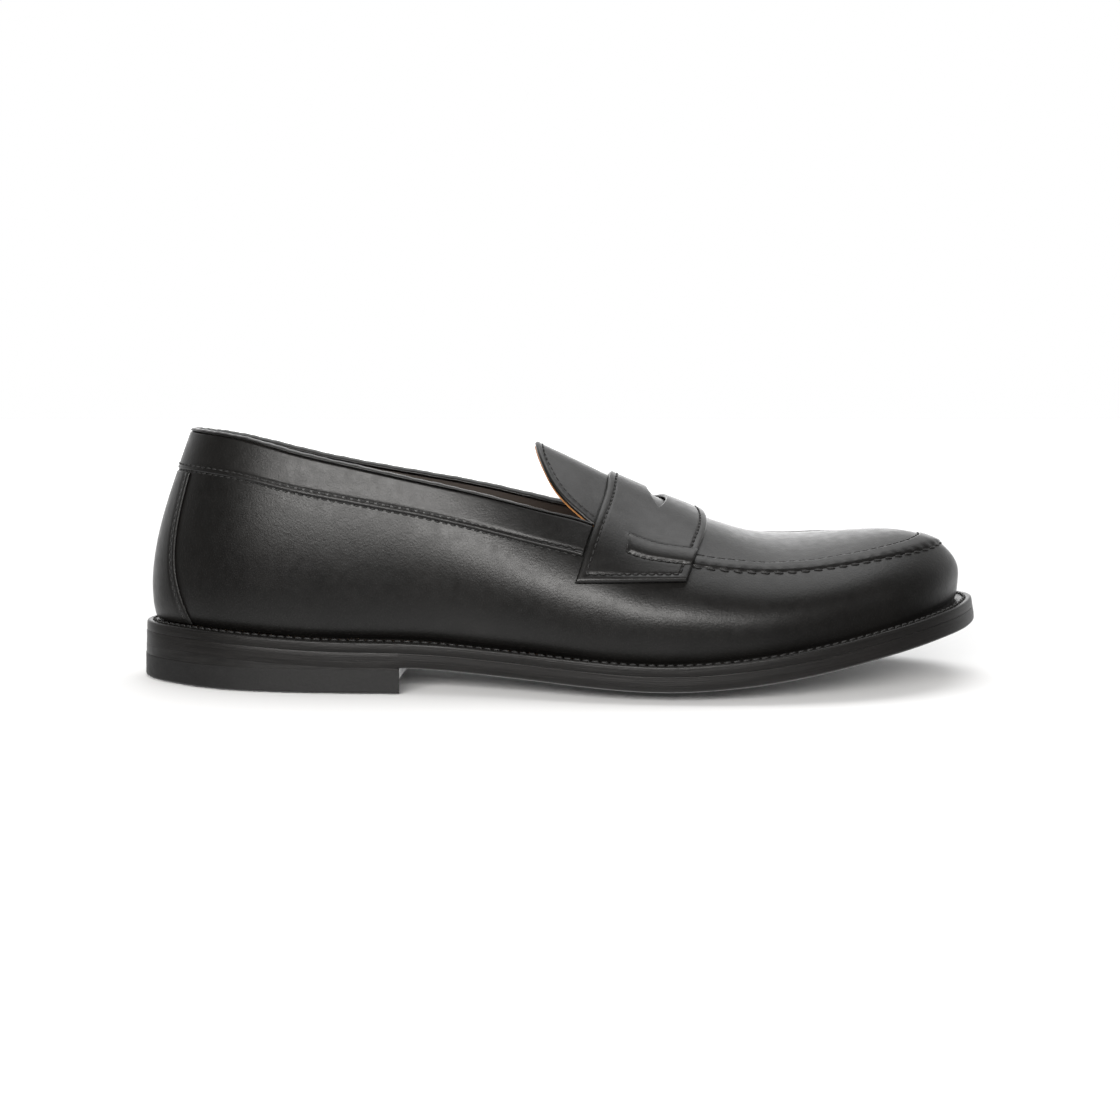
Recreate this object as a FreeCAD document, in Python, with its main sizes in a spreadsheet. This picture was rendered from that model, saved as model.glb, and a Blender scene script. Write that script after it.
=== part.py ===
import FreeCAD, Part
import math
import os

# Penny loafer, right shoe, men's UK 8 / EU 42.  Millimetres.
# +X runs to the toe, +Z up, -Y to the outer (lateral) side; the origin is on the floor under
# the middle of the length.  The shoe stands on its flat heel and on the ball of the sole.

doc = FreeCAD.newDocument("PennyLoafer")

# ---------------------------------------------------------------- driving dimensions
sheet = doc.addObject("Spreadsheet::Sheet", "Sizes")
SIZES = [
    ("outsole_thickness", 5.1), ("welt_thickness", 3.5), ("welt_ledge", 5.0),
    ("welt_width", 13.0), ("insole_inset", 9.4), ("insole_thickness", 2.4),
    ("sock_thickness", 1.0), ("top_piece_thickness", 8.0), ("heel_height", 12.5),
    ("breast_position", -54.0), ("edge_radius", 0.8), ("nail_radius", 0.9),
    ("nail_length", 6.5), ("nail_sink", 1.2), ("shank_length", 92.0), ("shank_width", 12.0),
    ("shank_thickness", 1.3), ("upper_thickness", 1.5), ("lining_thickness", 0.9),
    ("counter_thickness", 1.2), ("puff_thickness", 0.7), ("apron_thickness", 1.5),
    ("apron_gap", 1.9), ("strap_thickness", 1.6), ("strap_clearance", 0.8),
    ("slot_length", 30.0), ("slot_width", 7.0), ("slot_position", 34.0),
    ("collar_width", 11.4), ("band_thickness", 0.95), ("stay_thickness", 0.8),
    ("binding_height", 0.9), ("tongue_thickness", 1.4), ("tongue_width", 60.0),
    ("tongue_root", 16.8), ("thread_width", 0.8), ("thread_height", 0.4),
    ("ridge_height", 1.3),
]
for row, (alias, value) in enumerate(SIZES, start=1):
    sheet.set(f"A{row}", alias)
    sheet.set(f"B{row}", str(value))
    sheet.setAlias(f"B{row}", alias)
doc.recompute()


def size(alias):
    return float(sheet.get(alias))


# ---------------------------------------------------------------- splines of the last
def solve(matrix, rows):
    """Gaussian elimination with several right-hand sides."""
    n = len(matrix)
    for i in range(n):
        pivot = max(range(i, n), key=lambda k: abs(matrix[k][i]))
        matrix[i], matrix[pivot] = matrix[pivot], matrix[i]
        rows[i], rows[pivot] = rows[pivot], rows[i]
        for k in range(i + 1, n):
            f = matrix[k][i] / matrix[i][i]
            if f:
                matrix[k] = [a - f * b for a, b in zip(matrix[k], matrix[i])]
                rows[k] = [a - f * b for a, b in zip(rows[k], rows[i])]
    for i in range(n - 1, -1, -1):
        for k in range(i + 1, n):
            rows[i] = [a - matrix[i][k] * b for a, b in zip(rows[i], rows[k])]
        rows[i] = [a / matrix[i][i] for a in rows[i]]
    return rows


def spline(knots, values, closed=False):
    """Cubic spline through rows of values: natural ends, or closed on its first row."""
    values = [list(v) for v in values]
    if closed:
        values.append(values[0])
    n = len(knots)
    step = [knots[i + 1] - knots[i] for i in range(n - 1)]
    slope = [[(b - a) / step[i] for a, b in zip(values[i], values[i + 1])] for i in range(n - 1)]
    m = n - 1 if closed else n
    matrix = [[0.0] * m for _ in range(m)]
    rows = [[0.0] * len(values[0]) for _ in range(m)]
    for i in range(m):
        if not closed and i in (0, n - 1):
            matrix[i][i] = 1.0
            continue
        before, after = (i - 1) % (n - 1), i
        matrix[i][(i - 1) % m] += step[before]
        matrix[i][i] += 2 * (step[before] + step[after])
        matrix[i][(i + 1) % m] += step[after]
        rows[i] = [6 * (a - b) for a, b in zip(slope[after], slope[before])]
    bend = solve(matrix, rows)
    if closed:
        bend.append(bend[0])

    def at(t):
        if closed:
            t = knots[0] + (t - knots[0]) % (knots[-1] - knots[0])
        i = 0
        while i < n - 2 and t > knots[i + 1]:
            i += 1
        w = step[i]
        p, q = knots[i + 1] - t, t - knots[i]
        if not closed and (t < knots[0] or t > knots[-1]):
            end = 0 if t < knots[0] else n - 1
            i = min(end, n - 2)
            sign = -1 if end == 0 else 1
            tilt = [s + sign * step[i] / 6 * (bend[i][j] if end else bend[i + 1][j])
                    for j, s in enumerate(slope[i])]
            return [v + k * (t - knots[end]) for v, k in zip(values[end], tilt)]
        return [bend[i][j] * p ** 3 / (6 * w) + bend[i + 1][j] * q ** 3 / (6 * w)
                + (values[i][j] / w - bend[i][j] * w / 6) * p
                + (values[i + 1][j] / w - bend[i + 1][j] * w / 6) * q
                for j in range(len(values[0]))]

    return at


# Sole along the length: x, height of the outsole's lower edge, transverse sag, middle, half width
SOLE = [
    (-150, 11.2, 0.0, 0.0, 34), (-125, 11.1, 0.0, 0.0, 34), (-100, 9.9, 0.0, -0.6, 34),
    (-75, 8.8, 0.0, -2.0, 33.5), (-54, 8.5, 0.0, -4.0, 32.5), (-40, 8.0, 0.6, -5.2, 32.3),
    (-27, 7.2, 1.5, -6.0, 34), (-13, 6.3, 2.4, -6.2, 37.3), (0, 5.4, 3.1, -6.2, 41),
    (13, 4.55, 3.7, -5.6, 45), (26, 4.02, 3.95, -5.0, 48.4), (39, 4.02, 4.0, -3.6, 51),
    (52, 4.7, 4.0, -2.0, 52.2), (65, 6.0, 3.9, -1.0, 52.3), (78, 7.8, 3.7, 0.0, 51.2),
    (92, 10.2, 3.4, 1.2, 48.8), (106, 12.9, 3.0, 2.8, 45.4), (122, 15.8, 2.3, 4.5, 38.5),
    (131, 17.4, 1.8, 5.6, 33), (141, 18.9, 1.0, 6.6, 26), (150, 20.0, 0.0, 7.0, 20),
]
sole_line = spline([r[0] for r in SOLE], [r[1:] for r in SOLE])


def sole_bottom(x, y):
    edge, sag, mid, half = sole_line(x)
    return edge - sag * (1 - ((y - mid) / half) ** 2)


def sole_slope(x):
    """Rise of the sole along the length; none under the heel."""
    return max(0.0, (sole_line(x + 2)[0] - sole_line(x - 2)[0]) / 4)


def welt_top(x, y):
    return sole_bottom(x, y) + size("outsole_thickness") + size("welt_thickness")


# Instep along the length: x, crown height, sideways tilt, side slope, roundness of the crown
INSTEP = [
    (-20, 89.5, 0.0, 0.90, 12), (-8.7, 84.2, 0.0, 0.88, 12), (0, 80.2, 0.01, 0.87, 12.5),
    (7.2, 76.8, 0.02, 0.86, 13), (14.4, 73.3, 0.03, 0.86, 13.5), (22, 69.8, 0.045, 0.84, 16),
    (30, 66.1, 0.06, 0.81, 20), (38, 62.5, 0.07, 0.76, 26), (46, 59.2, 0.075, 0.71, 32),
    (52, 56.5, 0.078, 0.70, 38), (58, 54.3, 0.08, 0.68, 44), (65, 52.0, 0.085, 0.62, 50),
    (72, 50.3, 0.09, 0.56, 56), (80, 49.5, 0.09, 0.51, 60), (88, 49.5, 0.093, 0.54, 60),
    (97, 50.0, 0.096, 0.57, 60), (105, 50.6, 0.105, 0.70, 60), (112, 51.1, 0.118, 0.84, 60),
    (119, 51.3, 0.14, 1.10, 60), (125, 51.0, 0.155, 1.40, 60), (131, 50.0, 0.13, 1.60, 60),
    (137.5, 47.7, 0.10, 1.60, 60), (146, 43.5, 0.05, 1.60, 60),
]
instep_line = spline([r[0] for r in INSTEP], [r[1:] for r in INSTEP])


def instep(x, y):
    crown, tilt, slope, round_ = instep_line(x)
    return crown + tilt * y - slope * (math.hypot(round_, y) - round_)


# Stations round the shoe from the back of the heel by the outer side to the toe and home:
# sole edge x, y, top edge of the side wall x, y, z (None where it meets the apron), bulge, skew
WALL = [
    (-150, 4.5, -132.6, 3, 87.9, 5.4, 0.72), (-145.3, -7, -129.6, -7.5, 87.8, 5.3, 0.72),
    (-134.5, -17, -120.5, -17.3, 86.9, 5.2, 0.74), (-119.5, -26.3, -107, -24.5, 84.8, 5.0, 0.78),
    (-100, -32, -90, -29.2, 80.4, 4.8, 0.80), (-75, -34.8, -70, -31.5, 75.9, 4.6, 0.82),
    (-50, -36, -49, -32.8, 71.3, 5.0, 0.85), (-25, -40, -27, -33.6, 66.4, 6.0, 0.90),
    (0, -47, -5, -33.8, 60.7, 6.9, 0.95), (14, -50.4, 11, -33.8, 56.2, 7.3, 1.00),
    (28, -52.4, 26.5, -35.8, 48.8, 7.5, 1.05), (45, -53.4, 43, -35.8, None, 7.5, 1.10),
    (65, -52.6, 61, -33.6, None, 7.3, 1.10), (85, -49.4, 79, -30.6, None, 6.8, 1.15),
    (105, -43, 96.5, -25.6, None, 6.2, 1.20), (122, -33.5, 112, -18.8, None, 5.4, 1.25),
    (137, -20, 125.5, -10.4, None, 4.6, 1.30), (146.5, -5, 134.2, -2.4, None, 4.1, 1.35),
    (149.6, 7, 137.5, 6.2, None, 4.0, 1.36), (147, 20, 134.2, 14.8, None, 4.2, 1.35),
    (139, 31.5, 126, 21.8, None, 4.6, 1.30), (125, 41, 114, 27.4, None, 5.2, 1.25),
    (108, 47.5, 98.5, 31.4, None, 5.8, 1.20), (88, 51.3, 80.5, 33.6, None, 6.3, 1.15),
    (66, 51.9, 61.5, 34.6, None, 6.8, 1.10), (45, 49.2, 43, 35.2, None, 7.0, 1.10),
    (26, 43.6, 26.5, 34.6, 52.4, 7.2, 1.00), (10, 38, 10.5, 32.6, 57.5, 7.2, 1.00),
    (-5, 33, -6, 32.2, 61.5, 7.2, 0.95), (-25, 28, -27, 31.6, 66.3, 7.0, 0.90),
    (-45, 27, -48, 30.8, 70.3, 6.8, 0.90), (-65, 28.6, -68, 29.8, 73.8, 6.0, 0.85),
    (-85, 31.6, -88, 28.2, 77.8, 5.4, 0.80), (-105, 33.6, -106, 25.6, 82.3, 5.0, 0.76),
    (-124, 32, -120.5, 20.8, 85.9, 5.1, 0.74), (-138.5, 24.5, -129.5, 12.8, 87.5, 5.3, 0.72),
    (-147.2, 14.8, -132.2, 7.8, 87.9, 5.4, 0.72),
]
STATIONS = len(WALL)
APRON_Q = (11.35, 24.6)    # stations where the apron seam leaves the strap
ring = list(range(STATIONS + 1))
edge_line = spline(ring, [r[:2] for r in WALL], closed=True)
top_line = spline(ring, [(r[2], r[3], instep(r[2], r[3]) if r[4] is None else r[4])
                         for r in WALL], closed=True)
form_line = spline(ring, [r[5:] for r in WALL], closed=True)


def inward(q):
    (ax, ay), (bx, by) = edge_line(q - 0.02), edge_line(q + 0.02)
    length = math.hypot(bx - ax, by - ay)
    return -(by - ay) / length, (bx - ax) / length


def inset(q, distance):
    """A point of the sole's plan moved in from its edge."""
    (x, y), (nx, ny) = edge_line(q), inward(q)
    return x + distance * nx, y + distance * ny


def wall(q, v):
    """Outer surface of the side wall: v is 0 at the welt and 1 at the top edge."""
    nx, ny = inward(q)
    fx, fy = inset(q, size("welt_ledge"))
    fz = welt_top(fx, fy)
    tx, ty, tz = top_line(q)
    bulge, skew = form_line(q)
    push = bulge * math.sin(math.pi * max(v, 0.0) ** skew) if v < 1 else 0.0
    return FreeCAD.Vector(fx + (tx - fx) * v - push * nx, fy + (ty - fy) * v - push * ny,
                          fz + (tz - fz) * v)


def outward(surface, a, b, da=0.05, db=0.01):
    """Unit normal of surface(a, b), pointing away from the foot."""
    along = surface(a + da, b) - surface(a - da, b)
    up = surface(a, b + db) - surface(a, b - db)
    return along.cross(up).normalize()


def wall_off(q, v, distance):
    return wall(q, v) + outward(wall, q, min(v, 0.985)) * distance


def station_at(x, v, q):
    """Station near q where the wall at height v reaches x."""
    for _ in range(12):
        q += (x - wall(q, v).x) * 0.02 / (wall(q + 0.01, v).x - wall(q - 0.01, v).x)
    return q


def plateau(value, low, high, blend):
    """1 between low and high, falling smoothly to 0 over blend on each side."""
    t = min((value - low) / blend, (high - value) / blend) + 1
    t = max(0.0, min(1.0, t))
    return t * t * (3 - 2 * t)


# ---------------------------------------------------------------- solids from grids
def leaf(outer, inner):
    """Closed solid between two grids of points of one size."""
    skins = []
    for grid in (outer, inner):
        skin = Part.BSplineSurface()
        skin.interpolate(grid)
        skins.append(skin)
    faces = [skin.toShape() for skin in skins]
    u0, u1, v0, v1 = skins[0].bounds()
    w0, w1, t0, t1 = skins[1].bounds()
    for a, b in ((skins[0].uIso(u0), skins[1].uIso(w0)), (skins[0].uIso(u1), skins[1].uIso(w1)),
                 (skins[0].vIso(v0), skins[1].vIso(t0)), (skins[0].vIso(v1), skins[1].vIso(t1))):
        faces.append(Part.makeRuledSurface(a.toShape(), b.toShape()))
    sewn = Part.makeCompound(faces)
    sewn.sewShape(0.001)
    solid = Part.Solid(Part.Shell(sewn.Faces))
    if solid.Volume < 0:
        solid.reverse()
    return solid


def span(low, high, count):
    return [low + (high - low) * i / (count - 1) for i in range(count)]


def lanes(count):
    """Parameters from 0 to 1, set closer at both ends so that a skin runs true to its edges."""
    step = 1 / (count - 1)
    edge = [0.0, 0.15 * step, 0.4 * step]
    return edge + span(step, 1 - step, count - 2) + [1 - e for e in reversed(edge)]


def patch(place, columns, rows, outer, inner):
    """Leaf over place(s, t, height), s and t from 0 to 1, between two heights or height functions."""
    def level(h, s, t):
        return h(s, t) if callable(h) else h
    cells = [[(s, t) for t in lanes(rows)] for s in lanes(columns)]
    return leaf([[place(s, t, level(outer, s, t)) for s, t in line] for line in cells],
                [[place(s, t, level(inner, s, t)) for s, t in line] for line in cells])


def wall_patch(q0, q1, low, high, outer, inner, columns, rows):
    """Leaf on the side wall between stations; low and high give v at each station."""
    def place(s, t, height):
        q = q0 + (q1 - q0) * s
        return wall_off(q, low(q) + (high(q) - low(q)) * t, height)
    return patch(place, columns, rows, outer, inner)


THREAD_LIFT = 0.08    # of a seam over the leather it holds


def ribbon(path, normal, count):
    """Flat thread along path(s), lying on the surface whose outward normal is normal(s)."""
    half = size("thread_width") / 2
    grids = ([], [])
    for s in lanes(count):
        here, up = path(s), normal(s)
        ahead = path(min(s + 0.002, 1)) - path(max(s - 0.002, 0))
        side = ahead.cross(up).normalize()
        for grid, height in zip(grids, (THREAD_LIFT + size("thread_height"), THREAD_LIFT)):
            grid.append([here + side * (half * w) + up * height for w in (-1, -0.35, 0.35, 1)])
    return leaf(*grids)


def whole(shapes):
    return Part.makeCompound(shapes) if len(shapes) > 1 else shapes[0]


# ---------------------------------------------------------------- document helpers
nodes = []


def keep(obj, label):
    obj.Label = label
    nodes.append(obj)
    return obj


def feature(name, shape, label=None):
    obj = doc.addObject("Part::Feature", name)
    obj.Shape = shape
    obj.Placement = FreeCAD.Placement()
    return keep(obj, label) if label else obj


def bound(obj, **links):
    for prop, alias in links.items():
        obj.setExpression(prop.replace("__", "."), f"Sizes.{alias}")
    return obj


def pair(kind, name, base, tool, label=None):
    obj = doc.addObject(kind, name)
    obj.Base, obj.Tool = base, tool
    return keep(obj, label) if label else obj


def padded(name, curves, length, z=0.0):
    """PartDesign body padded up from a sketch on its own XY plane."""
    body = doc.addObject("PartDesign::Body", name)
    sketch = body.newObject("Sketcher::SketchObject", name + "Sketch")
    plane = next(f for f in body.Origin.OriginFeatures if f.Role == "XY_Plane")
    sketch.AttachmentSupport = [(plane, "")]
    sketch.MapMode = "FlatFace"
    for curve in curves:
        sketch.addGeometry(curve, False)
    pad = body.newObject("PartDesign::Pad", name + "Pad")
    pad.Profile = sketch
    if isinstance(length, str):
        bound(pad, Length=length)
    else:
        pad.Length = length
    body.Placement = FreeCAD.Placement(FreeCAD.Vector(0, 0, z), FreeCAD.Rotation())
    return body


def closed_curve(points):
    curve = Part.BSplineCurve()
    curve.interpolate([FreeCAD.Vector(*p) for p in points], PeriodicFlag=True)
    return curve


def open_curve(points):
    curve = Part.BSplineCurve()
    curve.interpolate([FreeCAD.Vector(*p) for p in points])
    return curve


PLAN_LOW, PLAN_HIGH = -5.0, 55.0


def plan(distance, name):
    """Tall block over the sole's plan, moved in by a distance, with its sides square to the sole."""
    body = doc.addObject("PartDesign::Body", name)
    plane = next(f for f in body.Origin.OriginFeatures if f.Role == "XY_Plane")
    sketches = []
    for level in (PLAN_LOW, PLAN_HIGH):
        points = []
        for q in span(0, STATIONS, 2 * STATIONS + 1)[:-1]:
            x, y = inset(q, distance)
            points.append((x + (welt_top(x, y) - level) * sole_slope(x), y, 0))
        sketch = body.newObject("Sketcher::SketchObject", name + "Sketch")
        sketch.AttachmentSupport = [(plane, "")]
        sketch.MapMode = "FlatFace"
        sketch.AttachmentOffset = FreeCAD.Placement(FreeCAD.Vector(0, 0, level), FreeCAD.Rotation())
        sketch.addGeometry(closed_curve(points), False)
        sketches.append(sketch)
    loft = body.newObject("PartDesign::AdditiveLoft", name + "Loft")
    loft.Profile = sketches[0]
    loft.Sections = [sketches[1]]
    loft.Ruled = True
    return body


def slab(name, height, thickness):
    """Layer following the curve of the sole: its lower face is `height` above the outsole's."""
    xs, ys = span(-160, 160, 61), span(-66, 64, 14)
    skin = Part.BSplineSurface()
    skin.interpolate([[FreeCAD.Vector(x, y, sole_bottom(x, y) + height) for y in ys] for x in xs])
    layer = doc.addObject("Part::Extrusion", name)
    layer.Base = feature(name + "Skin", skin.toShape())
    layer.DirMode = "Custom"
    layer.Dir = FreeCAD.Vector(0, 0, 1)
    layer.Solid = True
    return bound(layer, LengthFwd=thickness) if isinstance(thickness, str) else layer


# ---------------------------------------------------------------- sole
outline = plan(0.0, "Outline")
outsole_slab = slab("OutsoleSlab", 0.0, "outsole_thickness")
pair("Part::Common", "Outsole", outsole_slab, outline, "outsole")

welt_base = size("outsole_thickness")
welt_outline = plan(0.3, "WeltOutline")
welt_slab = slab("WeltSlab", welt_base, "welt_thickness")
welt_plate = pair("Part::Common", "WeltPlate", welt_slab, welt_outline)
welt_hole = plan(size("welt_width"), "WeltHole")
pair("Part::Cut", "Welt", welt_plate, welt_hole, "welt")

# Steel shank lying on the outsole in the waist, let into the cork
shank_slab = slab("ShankSlab", welt_base + 0.6, "shank_thickness")
shank_box = bound(doc.addObject("Part::Box", "ShankBox"), Length="shank_length", Width="shank_width")
shank_box.Height = 30.0
shank_box.setExpression("Placement.Base.x", "-Sizes.shank_length + 6")
shank_box.setExpression("Placement.Base.y", "-Sizes.shank_width / 2 - 4")
shank = pair("Part::Common", "Shank", shank_slab, shank_box, "shank")

cork_plan = plan(size("welt_width") + 0.2, "CorkPlan")
cork_slab = slab("CorkSlab", welt_base, "welt_thickness")
cork_plate = pair("Part::Common", "CorkPlate", cork_slab, cork_plan)
pair("Part::Cut", "CorkFiller", cork_plate, shank, "cork_filler")

insole_base = welt_base + size("welt_thickness")
insole_plan = plan(size("insole_inset"), "InsolePlan")
insole_slab = slab("InsoleSlab", insole_base, "insole_thickness")
pair("Part::Common", "Insole", insole_slab, insole_plan, "insole")

sock_plan = plan(size("insole_inset") + 0.4, "SockPlan")
sock_slab = slab("SockSlab", insole_base + size("insole_thickness"), "sock_thickness")
pair("Part::Common", "SockLining", sock_slab, sock_plan, "sock_lining")

# ---------------------------------------------------------------- heel
def edge_station(x, q):
    """Station near q where the sole edge reaches x."""
    for _ in range(12):
        q += (x - edge_line(q)[0]) / ((edge_line(q + 0.01)[0] - edge_line(q - 0.01)[0]) / 0.02)
    return q


def heel_curves(out):
    """Heel plan: the sole edge round the back, closed by a slightly hollow breast."""
    breast = size("breast_position")
    first_q, last_q = edge_station(breast, 30.0), STATIONS + edge_station(breast, 6.0)
    back = [inset(q, -out) for q in span(first_q, last_q, 27)]
    first, last = FreeCAD.Vector(*back[0], 0), FreeCAD.Vector(*back[-1], 0)
    middle = FreeCAD.Vector(breast - 3.0, (back[0][1] + back[-1][1]) / 2, 0)
    return [open_curve([(*p, 0) for p in back]), Part.Arc(last, middle, first)]


top_piece = padded("TopPieceBody", heel_curves(0.3), "top_piece_thickness")
doc.recompute()
rim = [f"Edge{i}" for i, e in enumerate(top_piece.Shape.Edges, start=1)
       if e.BoundBox.ZMax < 0.01 and e.Length > 100]
top_pad = top_piece.Tip
softened = top_piece.newObject("PartDesign::Fillet", "TopPieceEdge")
softened.Base = (top_pad, rim)
bound(softened, Radius="edge_radius")
top_piece.Tip = softened

NAILS = [(-138, -9), (-138, 9), (-118, -22), (-118, 22), (-92, -24), (-92, 23), (-68, -23), (-68, 19)]
nails = []
for i, (x, y) in enumerate(NAILS):
    nail = bound(doc.addObject("Part::Cylinder", f"Nail{i}"), Radius="nail_radius",
                 Height="nail_length", Placement__Base__z="nail_sink")
    nail.Placement.Base = FreeCAD.Vector(x, y, size("nail_sink"))
    nails.append(nail)
heel_nails = doc.addObject("Part::Compound", "HeelNails")
heel_nails.Links = nails
keep(heel_nails, "heel_nails")
pair("Part::Cut", "TopPiece", top_piece, heel_nails, "top_piece")

lift_block = padded("LiftBody", heel_curves(0.15), "heel_height")
lift_above = slab("LiftAbove", 0.0, "heel_height")
lift_cut = pair("Part::Cut", "LiftCut", lift_block, lift_above)
lift_below = doc.addObject("Part::Box", "LiftBelow")
lift_below.Length, lift_below.Width = 140, 90
bound(lift_below, Height="top_piece_thickness")
lift_below.Placement.Base = FreeCAD.Vector(-170, -45, 0)
pair("Part::Cut", "HeelLift", lift_cut, lift_below, "heel_lift")

# ---------------------------------------------------------------- side wall and stiffeners
LEATHER = size("upper_thickness")
LINING = size("lining_thickness")
CLEAR = 0.15    # between layers that lie on each other


def foot_v(q, depth):
    """Lowest v at which a layer reaching that deep into the wall stays clear of the welt."""
    low, high = 0.0, 0.2
    for _ in range(14):
        v = (low + high) / 2
        p, face = wall_off(q, v, -depth), wall(q, v)
        if min(p.z - welt_top(p.x, p.y), face.z - welt_top(face.x, face.y)) < CLEAR:
            low = v
        else:
            high = v
    return high


def top_ridge(q, v):
    """Raised edge of the wall along the apron seam, from the strap's front edge round the toe."""
    round_toe = plateau(q, APRON_Q[0] + 0.45, APRON_Q[1] - 0.45, 0.35)
    return size("ridge_height") * round_toe * max(0.0, 1 - ((v - 0.955) / 0.06) ** 2)


def level_line(value):
    return lambda q: value


def wall_outer(s, t):
    return top_ridge(0.02 + (STATIONS - 0.04) * s, t)


feature("UpperWall", wall_patch(0.02, STATIONS - 0.02, lambda q: foot_v(q, LEATHER), level_line(1.0),
                                wall_outer, -LEATHER, 149, 22), "upper_wall")

COUNTER = (-4.2, 4.2, 0.04, 0.60)
PUFF = (14.2, 21.8, 0.05, 0.78)


def stiffened(q, v):
    """Depth of the lining's outer face under the wall's outer face."""
    back = q - STATIONS if q > STATIONS / 2 else q
    heel = plateau(back, COUNTER[0], COUNTER[1], 0.9) * plateau(v, -1, COUNTER[3], 0.16)
    toe = plateau(q, PUFF[0], PUFF[1], 0.9) * plateau(v, -1, PUFF[3], 0.12)
    return (LEATHER + CLEAR + heel * (size("counter_thickness") + CLEAR)
            + toe * (size("puff_thickness") + CLEAR))


def lining(q0, q1, high, columns, rows):
    def low(q):
        return foot_v(q, stiffened(q % STATIONS, 0.02) + LINING)

    def depth(s, t):
        q = q0 + (q1 - q0) * s
        return -stiffened(q % STATIONS, low(q) + (high - low(q)) * t)
    return wall_patch(q0, q1, low, level_line(high), depth, lambda s, t: depth(s, t) - LINING,
                      columns, rows)


feature("QuarterLining", lining(-10.1, 10.1, 0.985, 85, 18), "quarter_lining")
feature("VampLining", lining(10.2, 26.7, 0.93, 75, 16), "vamp_lining")
feature("HeelCounter", wall_patch(COUNTER[0], COUNTER[1], level_line(COUNTER[2]), level_line(COUNTER[3]),
                                  -LEATHER - CLEAR, -LEATHER - CLEAR - size("counter_thickness"),
                                  35, 9), "heel_counter")
feature("ToePuff", wall_patch(PUFF[0], PUFF[1], level_line(PUFF[2]), level_line(PUFF[3]),
                              -LEATHER - CLEAR, -LEATHER - CLEAR - size("puff_thickness"),
                              35, 9), "toe_puff")

# ---------------------------------------------------------------- collar, back stay, topline
BAND = size("band_thickness")
TOP_ENDS = (station_at(11.2, 1.0, 27.0) - STATIONS, station_at(11.2, 1.0, 9.0))


def wall_height(q):
    return (wall(q, 1.0) - wall(q, 0.0)).Length


def band_low(q):
    heel = max(0.0, 1 - (q / 6.0) ** 2)
    return 1 - (size("collar_width") + 2.4 * heel) / wall_height(q)


LOW_ENDS = (station_at(7.6, band_low(28.0 - STATIONS), 27.2) - STATIONS,
            station_at(7.6, band_low(9.0), 8.8))


def band_place(s, t, height):
    """Place on the collar band, whose ends slope with the strap's rear edge."""
    first, last = (low + (top - low) * t for low, top in zip(LOW_ENDS, TOP_ENDS))
    q = first + (last - first) * s
    return wall_off(q, band_low(q) + (0.995 - band_low(q)) * t, height)


feature("CollarBand", patch(band_place, 75, 6, BAND, CLEAR), "collar_band")

stay_half = spline([0.0, 0.3, 0.6, 1.0], [(2.3,), (1.75,), (1.55,), (1.5,)])


def stay_place(s, t, height):
    v = 0.01 + (band_low(0) - 0.02) * t
    return wall_off(stay_half(v)[0] * (2 * s - 1), v, height)


feature("BackStay", patch(stay_place, 21, 22, size("stay_thickness"), CLEAR), "back_stay")


def binding():
    """Rolled edge over the leather, the lining and the collar band along the topline."""
    q0, q1 = TOP_ENDS
    half = (LEATHER + 0.1 + LINING + BAND) / 2 + 0.25
    centre = BAND - half + 0.2
    grids = ([], [])
    for q in span(q0, q1, 75):
        out = outward(wall, q, 0.98)
        up = (wall(q, 1.0) - wall(q, 0.97)).normalize()
        middle = wall(q, 1.0) + out * centre + up * 0.1
        for w in (-1, -0.75, -0.3, 0.3, 0.75, 1):
            rise = math.sqrt(max(0.0, 1 - w * w)) * size("binding_height")
            if w == -1:
                grids[0].append([])
                grids[1].append([])
            grids[0][-1].append(middle + out * (w * half) + up * (rise + 0.25))
            grids[1][-1].append(middle + out * (w * half) + up * 0.02)
    return leaf(*grids)


feature("ToplineBinding", binding(), "topline_binding")

# ---------------------------------------------------------------- apron, its lining, tongue
def root_x(y):
    """Where the tongue leaves the strap: just behind the strap's rear edge."""
    return size("tongue_root") - 4.2 * (y / 30.0) ** 2


def apron_plan(distance, name):
    """Prism over the apron's plan: the seam moved in, closed along the tongue's root."""
    side = []
    for q in span(10.2, 26.1, 41):
        (ax, ay, _), (bx, by, _) = top_line(q - 0.02), top_line(q + 0.02)
        length = math.hypot(bx - ax, by - ay)
        x, y, _ = top_line(q)
        side.append((x - distance * (by - ay) / length, y + distance * (bx - ax) / length))
    half = size("tongue_width") / 2 - 1.0
    gap = 0.5
    side = [(root_x(half) + gap, -half)] + side + [(root_x(half) + gap, half)]
    first, last = FreeCAD.Vector(*side[0], 0), FreeCAD.Vector(*side[-1], 0)
    rear = Part.Arc(last, FreeCAD.Vector(root_x(0) + gap, 0, 0), first)
    return padded(name, [open_curve([(*p, 0) for p in side]), rear], 120.0, -5.0)


def instep_slab(name, depth, thickness):
    xs, ys = span(-14, 146, 61), span(-44, 44, 23)
    skin = Part.BSplineSurface()
    skin.interpolate([[FreeCAD.Vector(x, y, instep(x, y) - depth) for y in ys] for x in xs])
    layer = doc.addObject("Part::Extrusion", name)
    layer.Base = feature(name + "Skin", skin.toShape())
    layer.DirMode = "Custom"
    layer.Dir = FreeCAD.Vector(0, 0, 1)
    layer.Solid = True
    return bound(layer, LengthFwd=thickness)


pair("Part::Common", "Apron", instep_slab("ApronSlab", size("apron_thickness"), "apron_thickness"),
     apron_plan(size("apron_gap"), "ApronPlan"), "apron")
pair("Part::Common", "ApronLining",
     instep_slab("ApronLiningSlab", size("apron_thickness") + 0.1 + LINING, "lining_thickness"),
     apron_plan(size("apron_gap") + 3.2, "ApronLiningPlan"), "apron_lining")

# Rear edge of the tongue across its width: fraction of the half width, x
tongue_edge = spline([0.0, 0.35, 0.6, 0.8, 0.92, 1.0],
                     [(-8.7,), (-7.4,), (-4.6,), (-0.6,), (4.4,), (10.0,)])


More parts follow.
